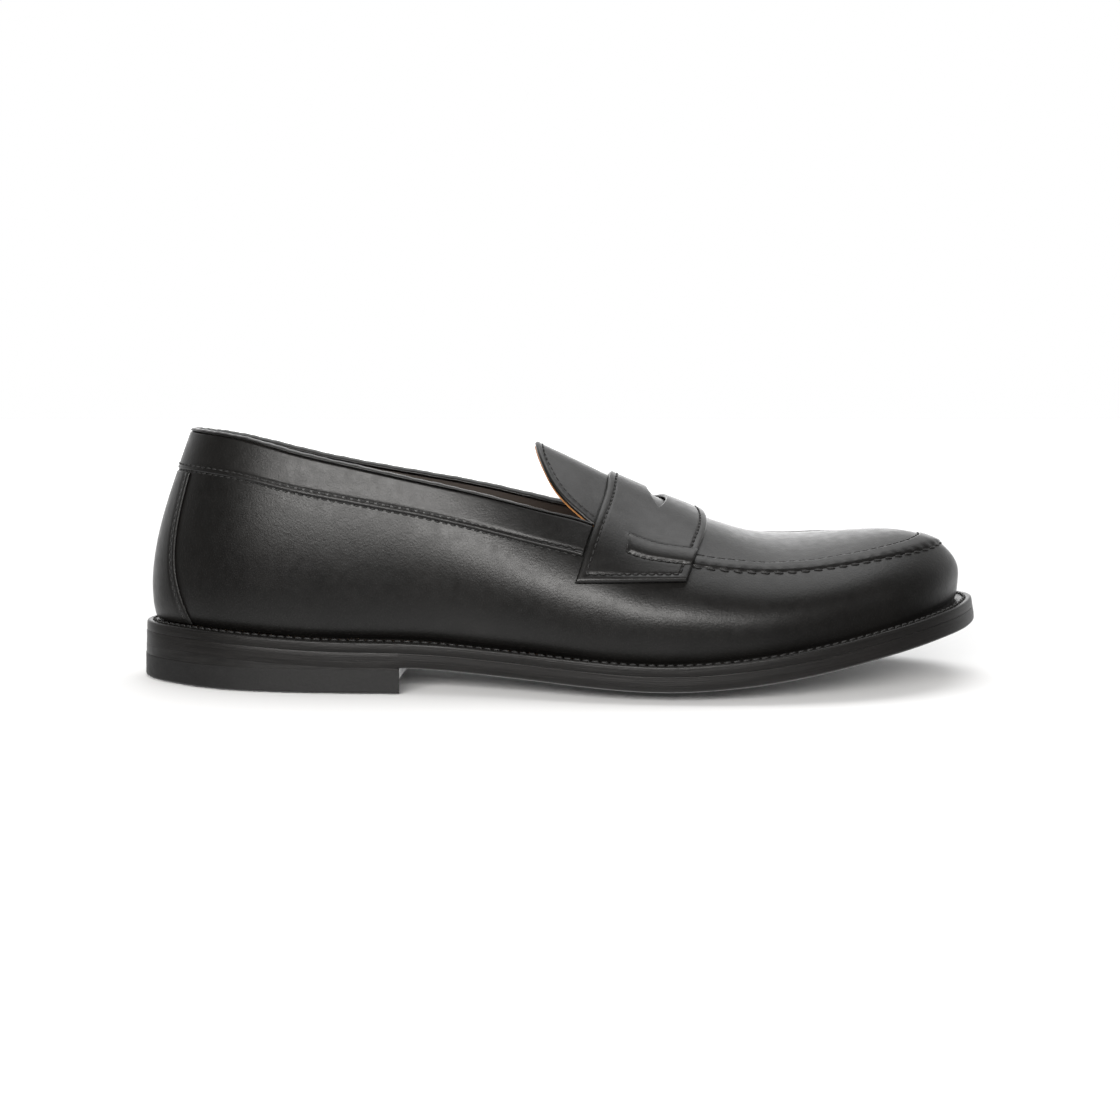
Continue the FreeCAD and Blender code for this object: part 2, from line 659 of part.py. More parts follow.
def instep_at(x, y):
    return FreeCAD.Vector(x, y, instep(x, y))


def instep_normal(x, y):
    return outward(instep_at, x, y, 0.2, 0.2)


def tongue_place(trim):
    def place(s, t, height):
        w = 2 * t - 1
        y = w * (size("tongue_width") / 2 - trim)
        x = root_x(y) + (tongue_edge(abs(w))[0] + trim - root_x(y)) * s
        return instep_at(x, y) + instep_normal(x, y) * height
    return place


TONGUE = size("tongue_thickness")
feature("Tongue", patch(tongue_place(0.0), 11, 25, 0.0, -TONGUE), "tongue")
feature("TongueLining", patch(tongue_place(0.5), 11, 25, -TONGUE - 0.03, -TONGUE - 0.03 - LINING),
        "tongue_lining")

# ---------------------------------------------------------------- strap
# Girth fraction from the crown (0) to the strap's end (1): rear edge x, front edge x
strap_edges = spline([0.0, 0.3, 0.5, 0.7, 0.85, 1.0],
                     [(17.3, 50.8), (15.7, 51.2), (13.4, 49.8), (10.4, 47.0), (7.8, 44.6), (5.0, 41.8)])
STRAP_END = 38.0    # height of the strap's ends above the floor


def girth(x):
    """Section of the upper at x from the outer strap end over the crown to the inner one."""
    sides = []
    for guess in (10.0, 26.0):
        low, high = 0.35, 1.0
        for _ in range(20):
            v = (low + high) / 2
            if wall(station_at(x, v, guess), v).z < STRAP_END:
                low = v
            else:
                high = v
        sides.append([wall(station_at(x, w, guess), w) for w in span(low, 0.99, 14)])
    left, right = sides[0][-1].y + 1.5, sides[1][-1].y - 1.5
    over = [instep_at(x, y) for y in span(left, right, 31)]
    return taut(sides[0] + over + sides[1][::-1])


def taut(points):
    """Upper convex hull of a section: the line that leather pulled over it follows."""
    line = []
    for p in sorted(points, key=lambda p: p.y):
        while len(line) > 1 and ((line[-1].y - line[-2].y) * (p.z - line[-2].z)
                                 >= (line[-1].z - line[-2].z) * (p.y - line[-2].y)):
            line.pop()
        line.append(p)
    return line


def by_girth(points, count):
    """Points resampled evenly from each end to the crown."""
    crown = max(range(len(points)), key=lambda i: points[i].z)
    halves = []
    for run in (points[crown::-1], points[crown:]):
        lengths = [0.0]
        for a, b in zip(run, run[1:]):
            lengths.append(lengths[-1] + (b - a).Length)
        line = spline(lengths, [(p.y, p.z) for p in run])
        halves.append([line(lengths[-1] * i / count) for i in range(count + 1)])
    return halves[0][::-1] + halves[1][1:]


GIRTH = 12
section_x = span(2, 56, 10)
sections = spline(section_x, [[c for p in by_girth(girth(x), GIRTH) for c in p] for x in section_x])


def smooth_girth(x):
    """Section at x with the corner at the apron seam rounded by the strap's stiffness."""
    flat = sections(x)
    points = [(flat[i], flat[i + 1]) for i in range(0, len(flat), 2)]
    for _ in range(2):
        points = [points[0]] + [tuple((a + 2 * b + c) / 4 for a, b, c in zip(*trio))
                                for trio in zip(points, points[1:], points[2:])] + [points[-1]]
    return points


def strap_grid(height):
    """Strap surface at a height over the upper; returns rows from rear to front."""
    grid = []
    for a in lanes(13):
        row = []
        for i in range(2 * GIRTH + 1):
            w = abs(i - GIRTH) / GIRTH
            rear, front = strap_edges(w)
            x = rear + (front - rear) * a
            points = smooth_girth(x)
            before, after = points[max(i - 1, 0)], points[min(i + 1, 2 * GIRTH)]
            dy, dz = after[0] - before[0], after[1] - before[1]
            length = math.hypot(dy, dz)
            ahead = smooth_girth(x + 1)[i]
            rise = ((ahead[1] - points[i][1]) * dy - (ahead[0] - points[i][0]) * dz) / length
            normal = FreeCAD.Vector(-rise, -dz / length, dy / length).normalize()
            row.append(FreeCAD.Vector(x, *points[i]) + normal * height)
        grid.append(row)
    return grid


strap_low = size("strap_clearance")
strap_high = strap_low + size("strap_thickness")
strap_blank = feature("StrapBlank", leaf(strap_grid(strap_high), strap_grid(strap_low)))
slot_half, slot_bow = size("slot_length") / 2, size("slot_width") / 2
slot_x = size("slot_position")
tips = [FreeCAD.Vector(slot_x, -slot_half, 0), FreeCAD.Vector(slot_x, slot_half, 0)]
slot_body = padded("SlotBody", [
    Part.Arc(tips[0], FreeCAD.Vector(slot_x - slot_bow, 0, 0), tips[1]),
    Part.Arc(tips[1], FreeCAD.Vector(slot_x + slot_bow, 0, 0), tips[0])], 90.0)
pair("Part::Cut", "Strap", strap_blank, slot_body, "strap")

# ---------------------------------------------------------------- stitching
def wall_row(q0, q1, level, height, count):
    return ribbon(lambda s: wall_off(q0 + (q1 - q0) * s, level(q0 + (q1 - q0) * s), height),
                  lambda s: outward(wall, q0 + (q1 - q0) * s, level(q0 + (q1 - q0) * s)), count)


def band_row(rise):
    return wall_row(LOW_ENDS[0] + 0.08, LOW_ENDS[1] - 0.08,
                    lambda q: band_low(q) + rise / wall_height(q), BAND, 81)


feature("CollarStitching", whole([band_row(0.9), band_row(3.2)]), "collar_stitching")


def stay_row(side):
    def path(s):
        v = 0.02 + (band_low(0) - 0.06) * s
        return wall_off(side * (stay_half(v)[0] - 0.16), v, size("stay_thickness"))

    def normal(s):
        v = 0.02 + (band_low(0) - 0.06) * s
        return outward(wall, side * (stay_half(v)[0] - 0.16), v)
    return ribbon(path, normal, 21)


feature("StayStitching", whole([stay_row(-1), stay_row(1)]), "stay_stitching")


def welt_at(x, y):
    return FreeCAD.Vector(x, y, welt_top(x, y))


def welt_row():
    """Seam round the welt's ledge; its ends meet behind the inner side of the waist."""
    def spot(s):
        return inset(29.03 + (STATIONS - 0.06) * s, 2.6)
    return ribbon(lambda s: welt_at(*spot(s)), lambda s: outward(welt_at, *spot(s), 0.2, 0.2), 149)


feature("WeltStitching", welt_row(), "welt_stitching")


def apron_row(distance):
    """Stitch row on the apron, a distance inside the seam."""
    q0, q1 = APRON_Q

    def spot(s):
        q = q0 + 0.25 + (q1 - q0 - 0.5) * s
        (ax, ay, _), (bx, by, _) = top_line(q - 0.02), top_line(q + 0.02)
        length = math.hypot(bx - ax, by - ay)
        x, y, _ = top_line(q)
        return x - distance * (by - ay) / length, y + distance * (bx - ax) / length
    return ribbon(lambda s: instep_at(*spot(s)), lambda s: instep_normal(*spot(s)), 81)


def seam_row():
    q0, q1 = APRON_Q
    return wall_row(q0 + 0.2, q1 - 0.2, level_line(0.86), 0.0, 81)


feature("ApronStitching", whole([apron_row(4.6), seam_row()]), "apron_stitching")


def strap_rows():
    """Rows just inside the strap's edges: front, rear and the two ends."""
    under = strap_high + THREAD_LIFT
    high, low = strap_grid(under + size("thread_height")), strap_grid(under)

    def line(grid, pick):
        curve = Part.BSplineSurface()
        curve.interpolate(grid)
        u0, u1, v0, v1 = curve.bounds()
        return [curve.value(u0 + (u1 - u0) * a, v0 + (v1 - v0) * b) for a, b in pick]

    def row(pick_a, pick_b):
        count = len(pick_a)
        sides = []
        for grid in (high, low):
            near, far = line(grid, pick_a), line(grid, pick_b)
            sides.append([[near[i] + (far[i] - near[i]) * w for w in (0, 0.33, 0.67, 1)]
                          for i in range(count)])
        return leaf(*sides)

    width = size("thread_width") / 35
    steps, rows = span(0.06, 0.94, 61), []
    for a in (0.075, 0.925):
        rows.append(row([(a - width / 2, b) for b in steps], [(a + width / 2, b) for b in steps]))
    for b in (0.027, 0.973):
        across = span(0.12, 0.88, 15)
        rows.append(row([(a, b - width / 8) for a in across], [(a, b + width / 8) for a in across]))
    return rows


feature("StrapStitching", whole(strap_rows()), "strap_stitching")


def tongue_row():
    place = tongue_place(2.2)

    def path(s):
        return place(1.0, 0.03 + 0.94 * s, 0.0)

    def normal(s):
        here = path(s)
        return instep_normal(here.x, here.y)
    return ribbon(path, normal, 41)


feature("TongueStitching", tongue_row(), "tongue_stitching")

# ---------------------------------------------------------------- checks and export
doc.recompute()
for obj in doc.Objects:
    if "Invalid" in obj.State or "Error" in obj.State:
        raise RuntimeError(f"{obj.Name} did not recompute: {obj.State}")
for obj in nodes:
    if obj.Shape.isNull() or not obj.Shape.isValid() or not obj.Shape.Solids:
        raise RuntimeError(f"{obj.Label} has no valid solid")

os.makedirs("parts", exist_ok=True)
for obj in nodes:
    obj.Shape.exportStep(f"parts/{obj.Label}.step")
    box = obj.Shape.BoundBox
    print(f"{obj.Label:18s} solids {len(obj.Shape.Solids):2d}  volume {obj.Shape.Volume:10.1f}  "
          f"x {box.XMin:7.1f} {box.XMax:7.1f}  y {box.YMin:6.1f} {box.YMax:6.1f}  "
          f"z {box.ZMin:6.2f} {box.ZMax:6.2f}")
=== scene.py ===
import math

import bmesh
import bpy
import numpy as np
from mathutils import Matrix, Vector


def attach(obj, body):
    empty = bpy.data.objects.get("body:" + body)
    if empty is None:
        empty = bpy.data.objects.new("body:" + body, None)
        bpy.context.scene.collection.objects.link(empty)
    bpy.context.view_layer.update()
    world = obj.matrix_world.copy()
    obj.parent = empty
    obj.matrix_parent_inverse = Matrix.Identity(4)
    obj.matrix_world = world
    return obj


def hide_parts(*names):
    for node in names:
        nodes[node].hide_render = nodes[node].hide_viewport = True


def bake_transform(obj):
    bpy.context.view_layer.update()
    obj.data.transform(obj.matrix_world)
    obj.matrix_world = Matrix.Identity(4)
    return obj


# Penny loafer.  The shoe's surfaces are worked out in millimetres in the CAD's own frame
# (+X toe, -Y outer side, +Z up) and turned into metres when a mesh is made.
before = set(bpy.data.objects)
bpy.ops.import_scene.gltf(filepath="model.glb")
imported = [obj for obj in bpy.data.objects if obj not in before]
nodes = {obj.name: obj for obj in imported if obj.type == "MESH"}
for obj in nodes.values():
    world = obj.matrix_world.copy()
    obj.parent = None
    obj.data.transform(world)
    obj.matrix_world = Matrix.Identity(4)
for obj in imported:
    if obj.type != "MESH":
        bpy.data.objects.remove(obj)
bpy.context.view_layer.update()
MM = 0.001

# ------------------------------ sizes
OUTSOLE, WELT, LEDGE, WELT_WIDTH = 5.1, 3.5, 5.0, 13.0
LEATHER, LINING = 1.5, 0.9
STRAP_LOW, STRAP_HIGH = 0.8, 2.4
SLOT_X, SLOT_HALF, SLOT_BOW = 34.0, 15.0, 3.5
COLLAR_WIDTH, BAND, STAY, BINDING = 11.4, 0.95, 0.8, 0.9
TONGUE_HALF, BREAST_X = 30.0, -54.0
# Seam rows: how far each lies from its leather's edge, and the channel pressed in along it
WELT_ROW, TONGUE_ROW, COLLAR_ROW, STAY_ROW = 2.6, 2.35, 1.7, 1.9
ROW_DEEP, ROW_WIDE = 0.24, 0.42
# Stations of the side wall where the apron's seam starts and ends, and the tip of the toe
APRON_START, APRON_END, TOE_TIP = 10.75, 25.25, 17.7


# ------------------------------ splines
class Spline:
    """Cubic spline through rows of values: natural ends, or closed on its first row."""

    def __init__(self, knots, values, closed=False):
        x, y = np.array(knots, float), np.array(values, float)
        if closed:
            y = np.vstack([y, y[:1]])
        n, h = len(x), np.diff(x)
        slope = np.diff(y, axis=0) / h[:, None]
        m = n - 1 if closed else n
        a, r = np.zeros((m, m)), np.zeros((m, y.shape[1]))
        for i in range(m):
            if not closed and i in (0, n - 1):
                a[i, i] = 1
                continue
            a[i, (i - 1) % m] += h[i - 1]
            a[i, i] += 2 * (h[i - 1] + h[i])
            a[i, (i + 1) % m] += h[i]
            r[i] = 6 * (slope[i] - slope[i - 1])
        bend = np.linalg.solve(a, r)
        if closed:
            bend = np.vstack([bend, bend[:1]])
        self.x, self.y, self.h, self.bend, self.closed = x, y, h, bend, closed
        self.tilt = (slope[0] - h[0] / 6 * bend[1], slope[-1] + h[-1] / 6 * bend[-2])

    def __call__(self, t):
        t = np.asarray(t, float)
        x, y, bend = self.x, self.y, self.bend
        if self.closed:
            t = x[0] + (t - x[0]) % (x[-1] - x[0])
        c = np.clip(t, x[0], x[-1])
        i = np.clip(np.searchsorted(x, c, side="right") - 1, 0, len(x) - 2)
        w, p, q = self.h[i][..., None], (x[i + 1] - c)[..., None], (c - x[i])[..., None]
        value = (bend[i] * p ** 3 / (6 * w) + bend[i + 1] * q ** 3 / (6 * w)
                 + (y[i] / w - bend[i] * w / 6) * p + (y[i + 1] / w - bend[i + 1] * w / 6) * q)
        if not self.closed:
            beyond = (t - c)[..., None]
            value = value + np.where(beyond < 0, self.tilt[0], self.tilt[1]) * beyond
        return value


# ------------------------------ the last
# Sole along the length: x, height of the outsole's lower edge, transverse sag, middle, half width
SOLE = [
    (-150, 11.2, 0.0, 0.0, 34), (-125, 11.1, 0.0, 0.0, 34), (-100, 9.9, 0.0, -0.6, 34),
    (-75, 8.8, 0.0, -2.0, 33.5), (-54, 8.5, 0.0, -4.0, 32.5), (-40, 8.0, 0.6, -5.2, 32.3),
    (-27, 7.2, 1.5, -6.0, 34), (-13, 6.3, 2.4, -6.2, 37.3), (0, 5.4, 3.1, -6.2, 41),
    (13, 4.55, 3.7, -5.6, 45), (26, 4.02, 3.95, -5.0, 48.4), (39, 4.02, 4.0, -3.6, 51),
    (52, 4.7, 4.0, -2.0, 52.2), (65, 6.0, 3.9, -1.0, 52.3), (78, 7.8, 3.7, 0.0, 51.2),
    (92, 10.2, 3.4, 1.2, 48.8), (106, 12.9, 3.0, 2.8, 45.4), (122, 15.8, 2.3, 4.5, 38.5),
    (131, 17.4, 1.8, 5.6, 33), (141, 18.9, 1.0, 6.6, 26), (150, 20.0, 0.0, 7.0, 20),
]
# Instep along the length: x, crown height, sideways tilt, side slope, roundness of the crown
INSTEP = [
    (-20, 89.5, 0.0, 0.90, 12), (-8.7, 84.2, 0.0, 0.88, 12), (0, 80.2, 0.01, 0.87, 12.5),
    (7.2, 76.8, 0.02, 0.86, 13), (14.4, 73.3, 0.03, 0.86, 13.5), (22, 69.8, 0.045, 0.84, 16),
    (30, 66.1, 0.06, 0.81, 20), (38, 62.5, 0.07, 0.76, 26), (46, 59.2, 0.075, 0.71, 32),
    (52, 56.5, 0.078, 0.70, 38), (58, 54.3, 0.08, 0.68, 44), (65, 52.0, 0.085, 0.62, 50),
    (72, 50.3, 0.09, 0.56, 56), (80, 49.5, 0.09, 0.51, 60), (88, 49.5, 0.093, 0.54, 60),
    (97, 50.0, 0.096, 0.57, 60), (105, 50.6, 0.105, 0.70, 60), (112, 51.1, 0.118, 0.84, 60),
    (119, 51.3, 0.14, 1.10, 60), (125, 51.0, 0.155, 1.40, 60), (131, 50.0, 0.13, 1.60, 60),
    (137.5, 47.7, 0.10, 1.60, 60), (146, 43.5, 0.05, 1.60, 60),
]
# Stations round the shoe from the back of the heel by the outer side to the toe and home:
# sole edge x, y, top edge of the side wall x, y, z (None where it meets the apron), bulge, skew
WALL = [
    (-150, 4.5, -132.6, 3, 87.9, 5.4, 0.72), (-145.3, -7, -129.6, -7.5, 87.8, 5.3, 0.72),
    (-134.5, -17, -120.5, -17.3, 86.9, 5.2, 0.74), (-119.5, -26.3, -107, -24.5, 84.8, 5.0, 0.78),
    (-100, -32, -90, -29.2, 80.4, 4.8, 0.80), (-75, -34.8, -70, -31.5, 75.9, 4.6, 0.82),
    (-50, -36, -49, -32.8, 71.3, 5.0, 0.85), (-25, -40, -27, -33.6, 66.4, 6.0, 0.90),
    (0, -47, -5, -33.8, 60.7, 6.9, 0.95), (14, -50.4, 11, -33.8, 56.2, 7.3, 1.00),
    (28, -52.4, 26.5, -35.8, 48.8, 7.5, 1.05), (45, -53.4, 43, -35.8, None, 7.5, 1.10),
    (65, -52.6, 61, -33.6, None, 7.3, 1.10), (85, -49.4, 79, -30.6, None, 6.8, 1.15),
    (105, -43, 96.5, -25.6, None, 6.2, 1.20), (122, -33.5, 112, -18.8, None, 5.4, 1.25),
    (137, -20, 125.5, -10.4, None, 4.6, 1.30), (146.5, -5, 134.2, -2.4, None, 4.1, 1.35),
    (149.6, 7, 137.5, 6.2, None, 4.0, 1.36), (147, 20, 134.2, 14.8, None, 4.2, 1.35),
    (139, 31.5, 126, 21.8, None, 4.6, 1.30), (125, 41, 114, 27.4, None, 5.2, 1.25),
    (108, 47.5, 98.5, 31.4, None, 5.8, 1.20), (88, 51.3, 80.5, 33.6, None, 6.3, 1.15),
    (66, 51.9, 61.5, 34.6, None, 6.8, 1.10), (45, 49.2, 43, 35.2, None, 7.0, 1.10),
    (26, 43.6, 26.5, 34.6, 52.4, 7.2, 1.00), (10, 38, 10.5, 32.6, 57.5, 7.2, 1.00),
    (-5, 33, -6, 32.2, 61.5, 7.2, 0.95), (-25, 28, -27, 31.6, 66.3, 7.0, 0.90),
    (-45, 27, -48, 30.8, 70.3, 6.8, 0.90), (-65, 28.6, -68, 29.8, 73.8, 6.0, 0.85),
    (-85, 31.6, -88, 28.2, 77.8, 5.4, 0.80), (-105, 33.6, -106, 25.6, 82.3, 5.0, 0.76),
    (-124, 32, -120.5, 20.8, 85.9, 5.1, 0.74), (-138.5, 24.5, -129.5, 12.8, 87.5, 5.3, 0.72),
    (-147.2, 14.8, -132.2, 7.8, 87.9, 5.4, 0.72),
]
STATIONS = len(WALL)
ring = np.arange(STATIONS + 1)
sole_line = Spline([r[0] for r in SOLE], [r[1:] for r in SOLE])
instep_line = Spline([r[0] for r in INSTEP], [r[1:] for r in INSTEP])


def sole_bottom(x, y):
    edge, sag, mid, half = np.moveaxis(sole_line(x), -1, 0)
    return edge - sag * (1 - ((y - mid) / half) ** 2)


def sole_slope(x):
    return np.maximum(0, (sole_line(x + 2.0)[..., 0] - sole_line(x - 2.0)[..., 0]) / 4)


def instep(x, y):
    crown, tilt, slope, roundness = np.moveaxis(instep_line(x), -1, 0)
    return crown + tilt * y - slope * (np.hypot(roundness, y) - roundness)


edge_line = Spline(ring, [r[:2] for r in WALL], closed=True)
top_line = Spline(ring, [(r[2], r[3], instep(float(r[2]), float(r[3])) if r[4] is None else r[4])
                         for r in WALL], closed=True)
form_line = Spline(ring, [r[5:] for r in WALL], closed=True)


def unit(v):
    return v / np.linalg.norm(v, axis=-1, keepdims=True)


def inward_of(line, q):
    d = line(q + 0.02)[..., :2] - line(q - 0.02)[..., :2]
    return unit(np.stack([-d[..., 1], d[..., 0]], -1))


def inset(q, distance):
    """Points of the sole's plan moved in from its edge."""
    return edge_line(q) + np.asarray(distance)[..., None] * inward_of(edge_line, q)


def wall(q, v):
    """Outer surface of the side wall: v is 0 at the welt and 1 at the top edge."""
    q, v = np.broadcast_arrays(np.asarray(q, float), np.asarray(v, float))
    inner = inward_of(edge_line, q)
    foot = edge_line(q) + LEDGE * inner
    z = sole_bottom(foot[..., 0], foot[..., 1]) + OUTSOLE + WELT
    foot = np.concatenate([foot, z[..., None]], -1)
    form = form_line(q)
    push = form[..., 0] * np.sin(np.pi * np.clip(v, 0, 1) ** form[..., 1])
    point = foot + (top_line(q) - foot) * v[..., None]
    point[..., :2] -= push[..., None] * inner
    return point


def outward(surface, a, b, da=0.05, db=0.01):
    along = surface(a + da, b) - surface(a - da, b)
    up = surface(a, b + db) - surface(a, b - db)
    return unit(np.cross(along, up))


def wall_off(q, v, distance):
    q, v = np.broadcast_arrays(np.asarray(q, float), np.asarray(v, float))
    return wall(q, v) + outward(wall, q, np.minimum(v, 0.985)) * np.asarray(distance)[..., None]


def wall_height(q):
    return np.linalg.norm(wall(q, 1.0) - wall(q, 0.0), axis=-1)


def instep_at(x, y):
    x, y = np.broadcast_arrays(np.asarray(x, float), np.asarray(y, float))
    return np.stack([x, y, instep(x, y)], -1)


def instep_normal(x, y):
    return outward(instep_at, x, y, 0.2, 0.2)


def station_at(x, v, q):
    """Station near q where the wall at height v reaches x."""
    for _ in range(12):
        q += (x - wall(q, v)[0]) * 0.02 / (wall(q + 0.01, v)[0] - wall(q - 0.01, v)[0])
    return q


def smooth(t):
    t = np.clip(t, 0, 1)
    return t * t * (3 - 2 * t)


def groove(distance, width):
    return np.exp(-(distance / width) ** 2)


def run_along(points):
    """Distance along a line of points, from 0 at its first one."""
    return np.concatenate([[0], np.cumsum(np.linalg.norm(np.diff(points, axis=0), axis=1))])


# ------------------------------ meshes
def add_object(name, data):
    obj = bpy.data.objects.new(name, data)
    bpy.context.scene.collection.objects.link(obj)
    return obj


class Shape:
    """Vertices in millimetres and faces, gathered from several grids."""

    def __init__(self):
        self.points, self.faces, self.runs, self.count = [], [], [], 0

    def grid(self, points, close_m=False, close_n=False, run=None):
        m, n = points.shape[:2]
        i = np.arange(m if close_m else m - 1)[:, None]
        j = np.arange(n if close_n else n - 1)[None, :]
        corner = [(i % m) * n + j, ((i + 1) % m) * n + j,
                  ((i + 1) % m) * n + (j + 1) % n, (i % m) * n + (j + 1) % n]
        corner = np.stack(np.broadcast_arrays(*corner), -1).reshape(-1, 4) + self.count
        self.faces += corner.tolist()
        self.points.append(points.reshape(-1, 3))
        self.runs.append(np.zeros((m * n, 2)) if run is None else run.reshape(-1, 2))
        first = self.count
        self.count += m * n
        return first

    def cap(self, indices):
        self.faces.append(list(indices))

    def zip_up(self, indices, points):
        """Close a long narrow ring with a strip of triangles from its front end to its rear one."""
        x = points[:, 0]
        front, rear, count = int(np.argmax(x)), int(np.argmin(x)), len(x)
        left = [(front + k) % count for k in range((rear - front) % count + 1)]
        right = [(front - k) % count for k in range((front - rear) % count + 1)]
        i = j = 0
        while i < len(left) - 1 or j < len(right) - 1:
            if j == len(right) - 1 or (i < len(left) - 1 and x[left[i + 1]] >= x[right[j + 1]]):
                corners = (left[i], left[i + 1], right[j])
                i += 1
            else:
                corners = (left[i], right[j + 1], right[j])
                j += 1
            if len(set(corners)) == 3:
                self.faces.append([int(indices[c]) for c in corners])

    def shell(self, outer, inner):
        """Closed skin of two grids whose borders meet."""
        self.grid(outer)
        self.grid(inner[::-1])

    def piece(self, name, material, body, slot, replaces=(), merge=True):
        mesh = bpy.data.meshes.new(name)
        mesh.from_pydata((np.vstack(self.points) * MM).tolist(), [], self.faces)
        run = mesh.attributes.new("run", "FLOAT2", "POINT")
        run.data.foreach_set("vector", np.vstack(self.runs).astype(np.float32).ravel())
        work = bmesh.new()
        work.from_mesh(mesh)
        if merge:
            bmesh.ops.remove_doubles(work, verts=work.verts, dist=2e-7)
            bmesh.ops.dissolve_degenerate(work, edges=work.edges, dist=1e-8)
        bmesh.ops.recalc_face_normals(work, faces=work.faces)
        work.to_mesh(mesh)
        work.free()
        mesh.polygons.foreach_set("use_smooth", [True] * len(mesh.polygons))
        mesh.materials.append(material)
        obj = add_object(name, mesh)
        if body:
            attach(obj, body)
        if replaces:
            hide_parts(*replaces)
        return obj


def ease(length, radius, count, fine=6):
    """Distances along a length, close together at both ends where an edge is rounded."""
    edge = radius * (1 - np.cos(np.linspace(0, np.pi / 2, fine)))
    middle = radius + (length - 2 * radius) * np.linspace(0, 1, count)[1:-1]
    return np.concatenate([edge, middle, length - edge[::-1]])


def dome(distance, radius):
    return np.sqrt(1 - (1 - np.clip(distance / radius, 0, 1)) ** 2)


def pillow(place, long_side, short_side, low, high, radius, count_s, count_t, detail=None):
    """Patch of leather with rounded edges over place(s, t, height)."""
    s = ease(long_side, radius, count_s) / long_side
    across = np.broadcast_to(short_side(s) if callable(short_side) else short_side, s.shape)
    t = np.stack([ease(w, radius, count_t) / w for w in across])
    s = np.broadcast_to(s[:, None], t.shape)
    ds = np.minimum(s, 1 - s) * long_side
    dt = np.minimum(t, 1 - t) * across[:, None]
    full = dome(ds, radius) * dome(dt, radius)
    mid = low + (high - low) * 0.35
    extra = detail(s * long_side, t * across[:, None], across[:, None]) if detail else 0.0
    shape = Shape()
    shape.shell(place(s, t, mid + (high - mid + extra) * full), place(s, t, mid - (mid - low) * full))
    return shape


def stitches(shape, path, normal, pitch, length, width, height, sink=0.5, slant=0.0, rings=9, sides=8):
    """Thread along a path, one stitch after another, each dipping into the leather at its ends."""
    run = run_along(path)
    count = max(1, round(run[-1] / pitch))
    centre = (np.arange(count) + 0.5) * run[-1] / count
    u = np.linspace(-1, 1, rings)
    spots = centre[:, None] + u * length / 2

    def along(values, at):
        return np.stack([np.interp(at, run, values[:, k]) for k in range(3)], -1)

    ahead = unit(along(path, spots + 0.05) - along(path, spots - 0.05))
    up = unit(along(normal, spots))
    side = np.cross(ahead, up)
    middle = along(path, spots) + side * (slant * u * length / 2)[None, :, None]
    body = (1 - np.abs(u) ** 3) ** 0.5
    body[[0, -1]] = 0.05
    lift = height * (1 - sink * 2.2 * u ** 4)
    turn = np.linspace(0, 2 * np.pi, sides, endpoint=False)
    ply = 1 + 0.10 * np.cos(2 * turn[None, :] - 5.5 * u[:, None])
    wide = (body[:, None] * ply * np.cos(turn) * width / 2)[None, :, :, None]
    tall = (lift[:, None] + body[:, None] * ply * np.sin(turn) * width * 0.42)[None, :, :, None]
    tube = middle[:, :, None] + side[:, :, None] * wide + up[:, :, None] * tall
    for one in tube:
        first = shape.grid(one, close_n=True)
        shape.cap(first + np.arange(sides))
        shape.cap((first + (rings - 1) * sides + np.arange(sides))[::-1])
    return shape


# ------------------------------ materials
def add_node(tree, kind, **inputs):
    """New shader node; each input is given a socket to follow or a plain value."""
    node = tree.nodes.new("ShaderNode" + kind)
    for key, value in inputs.items():
        key = key.replace("_", " ")
        if isinstance(value, bpy.types.NodeSocket):
            tree.links.new(value, node.inputs[key])
        else:
            node.inputs[key].default_value = value
    return node


def set_range(node, *limits):
    """Set a map range node's from and to limits."""
    for key, value in zip(("From Min", "From Max", "To Min", "To Max"), limits):
        node.inputs[key].default_value = value
    return node.outputs["Result"]


class Material:
    """Small helper over a node tree with one Principled shader."""

    def __init__(self, name, roughness=0.5, specular=0.5, **sockets):
        self.material = bpy.data.materials.new(name)
        self.material.use_nodes = True
        self.tree = self.material.node_tree
        self.shader = self.tree.nodes["Principled BSDF"]
        self.shader.inputs["Roughness"].default_value = roughness
        self.shader.inputs["Specular IOR Level"].default_value = specular
        for socket, value in sockets.items():
            self.shader.inputs[socket.replace("_", " ")].default_value = value
        self.place = self.node("TexCoord").outputs["Object"]

    def node(self, kind, **inputs):
        return add_node(self.tree, kind, **inputs)

    def link(self, output, socket):
        self.tree.links.new(output, self.shader.inputs[socket])

    def noise(self, scale, detail=3.0, where=None, roughness=0.5):
        return self.node("TexNoise", Vector=where or self.place, Scale=scale, Detail=detail,
                         Roughness=roughness).outputs["Fac"]

    def scaled(self, vector, factors):
        node = self.node("VectorMath", Vector=vector)
        node.operation = "MULTIPLY"
        node.inputs[1].default_value = factors
        return node.outputs["Vector"]

    def spread(self, value, low, high):
        """The middle half of a value from 0 to 1 mapped to a range."""
        return set_range(self.node("MapRange", Value=value), 0.25, 0.75, low, high)

    def blend(self, factor, first, second):
        node = self.node("Mix")
        node.data_type = "RGBA"
        self.tree.links.new(factor, node.inputs["Factor"])
        colours = [s for s in node.inputs if s.type == "RGBA"]
        for socket, colour in zip(colours, (first, second)):
            if isinstance(colour, bpy.types.NodeSocket):
                self.tree.links.new(colour, socket)
            else:
                socket.default_value = (*colour, 1)
        return next(s for s in node.outputs if s.type == "RGBA")

    def bump(self, height, depth, strength=1.0, after=None):
        node = self.node("Bump", Height=height, Strength=strength, Distance=depth)
        if after is not None:
            self.tree.links.new(after, node.inputs["Normal"])
        return node.outputs["Normal"]

    def done(self, colour, roughness=None, normal=None):
        self.link(colour, "Base Color")
        if roughness is not None:
            self.link(roughness, "Roughness")
        if normal is not None:
            self.link(normal, "Normal")
        return self.material


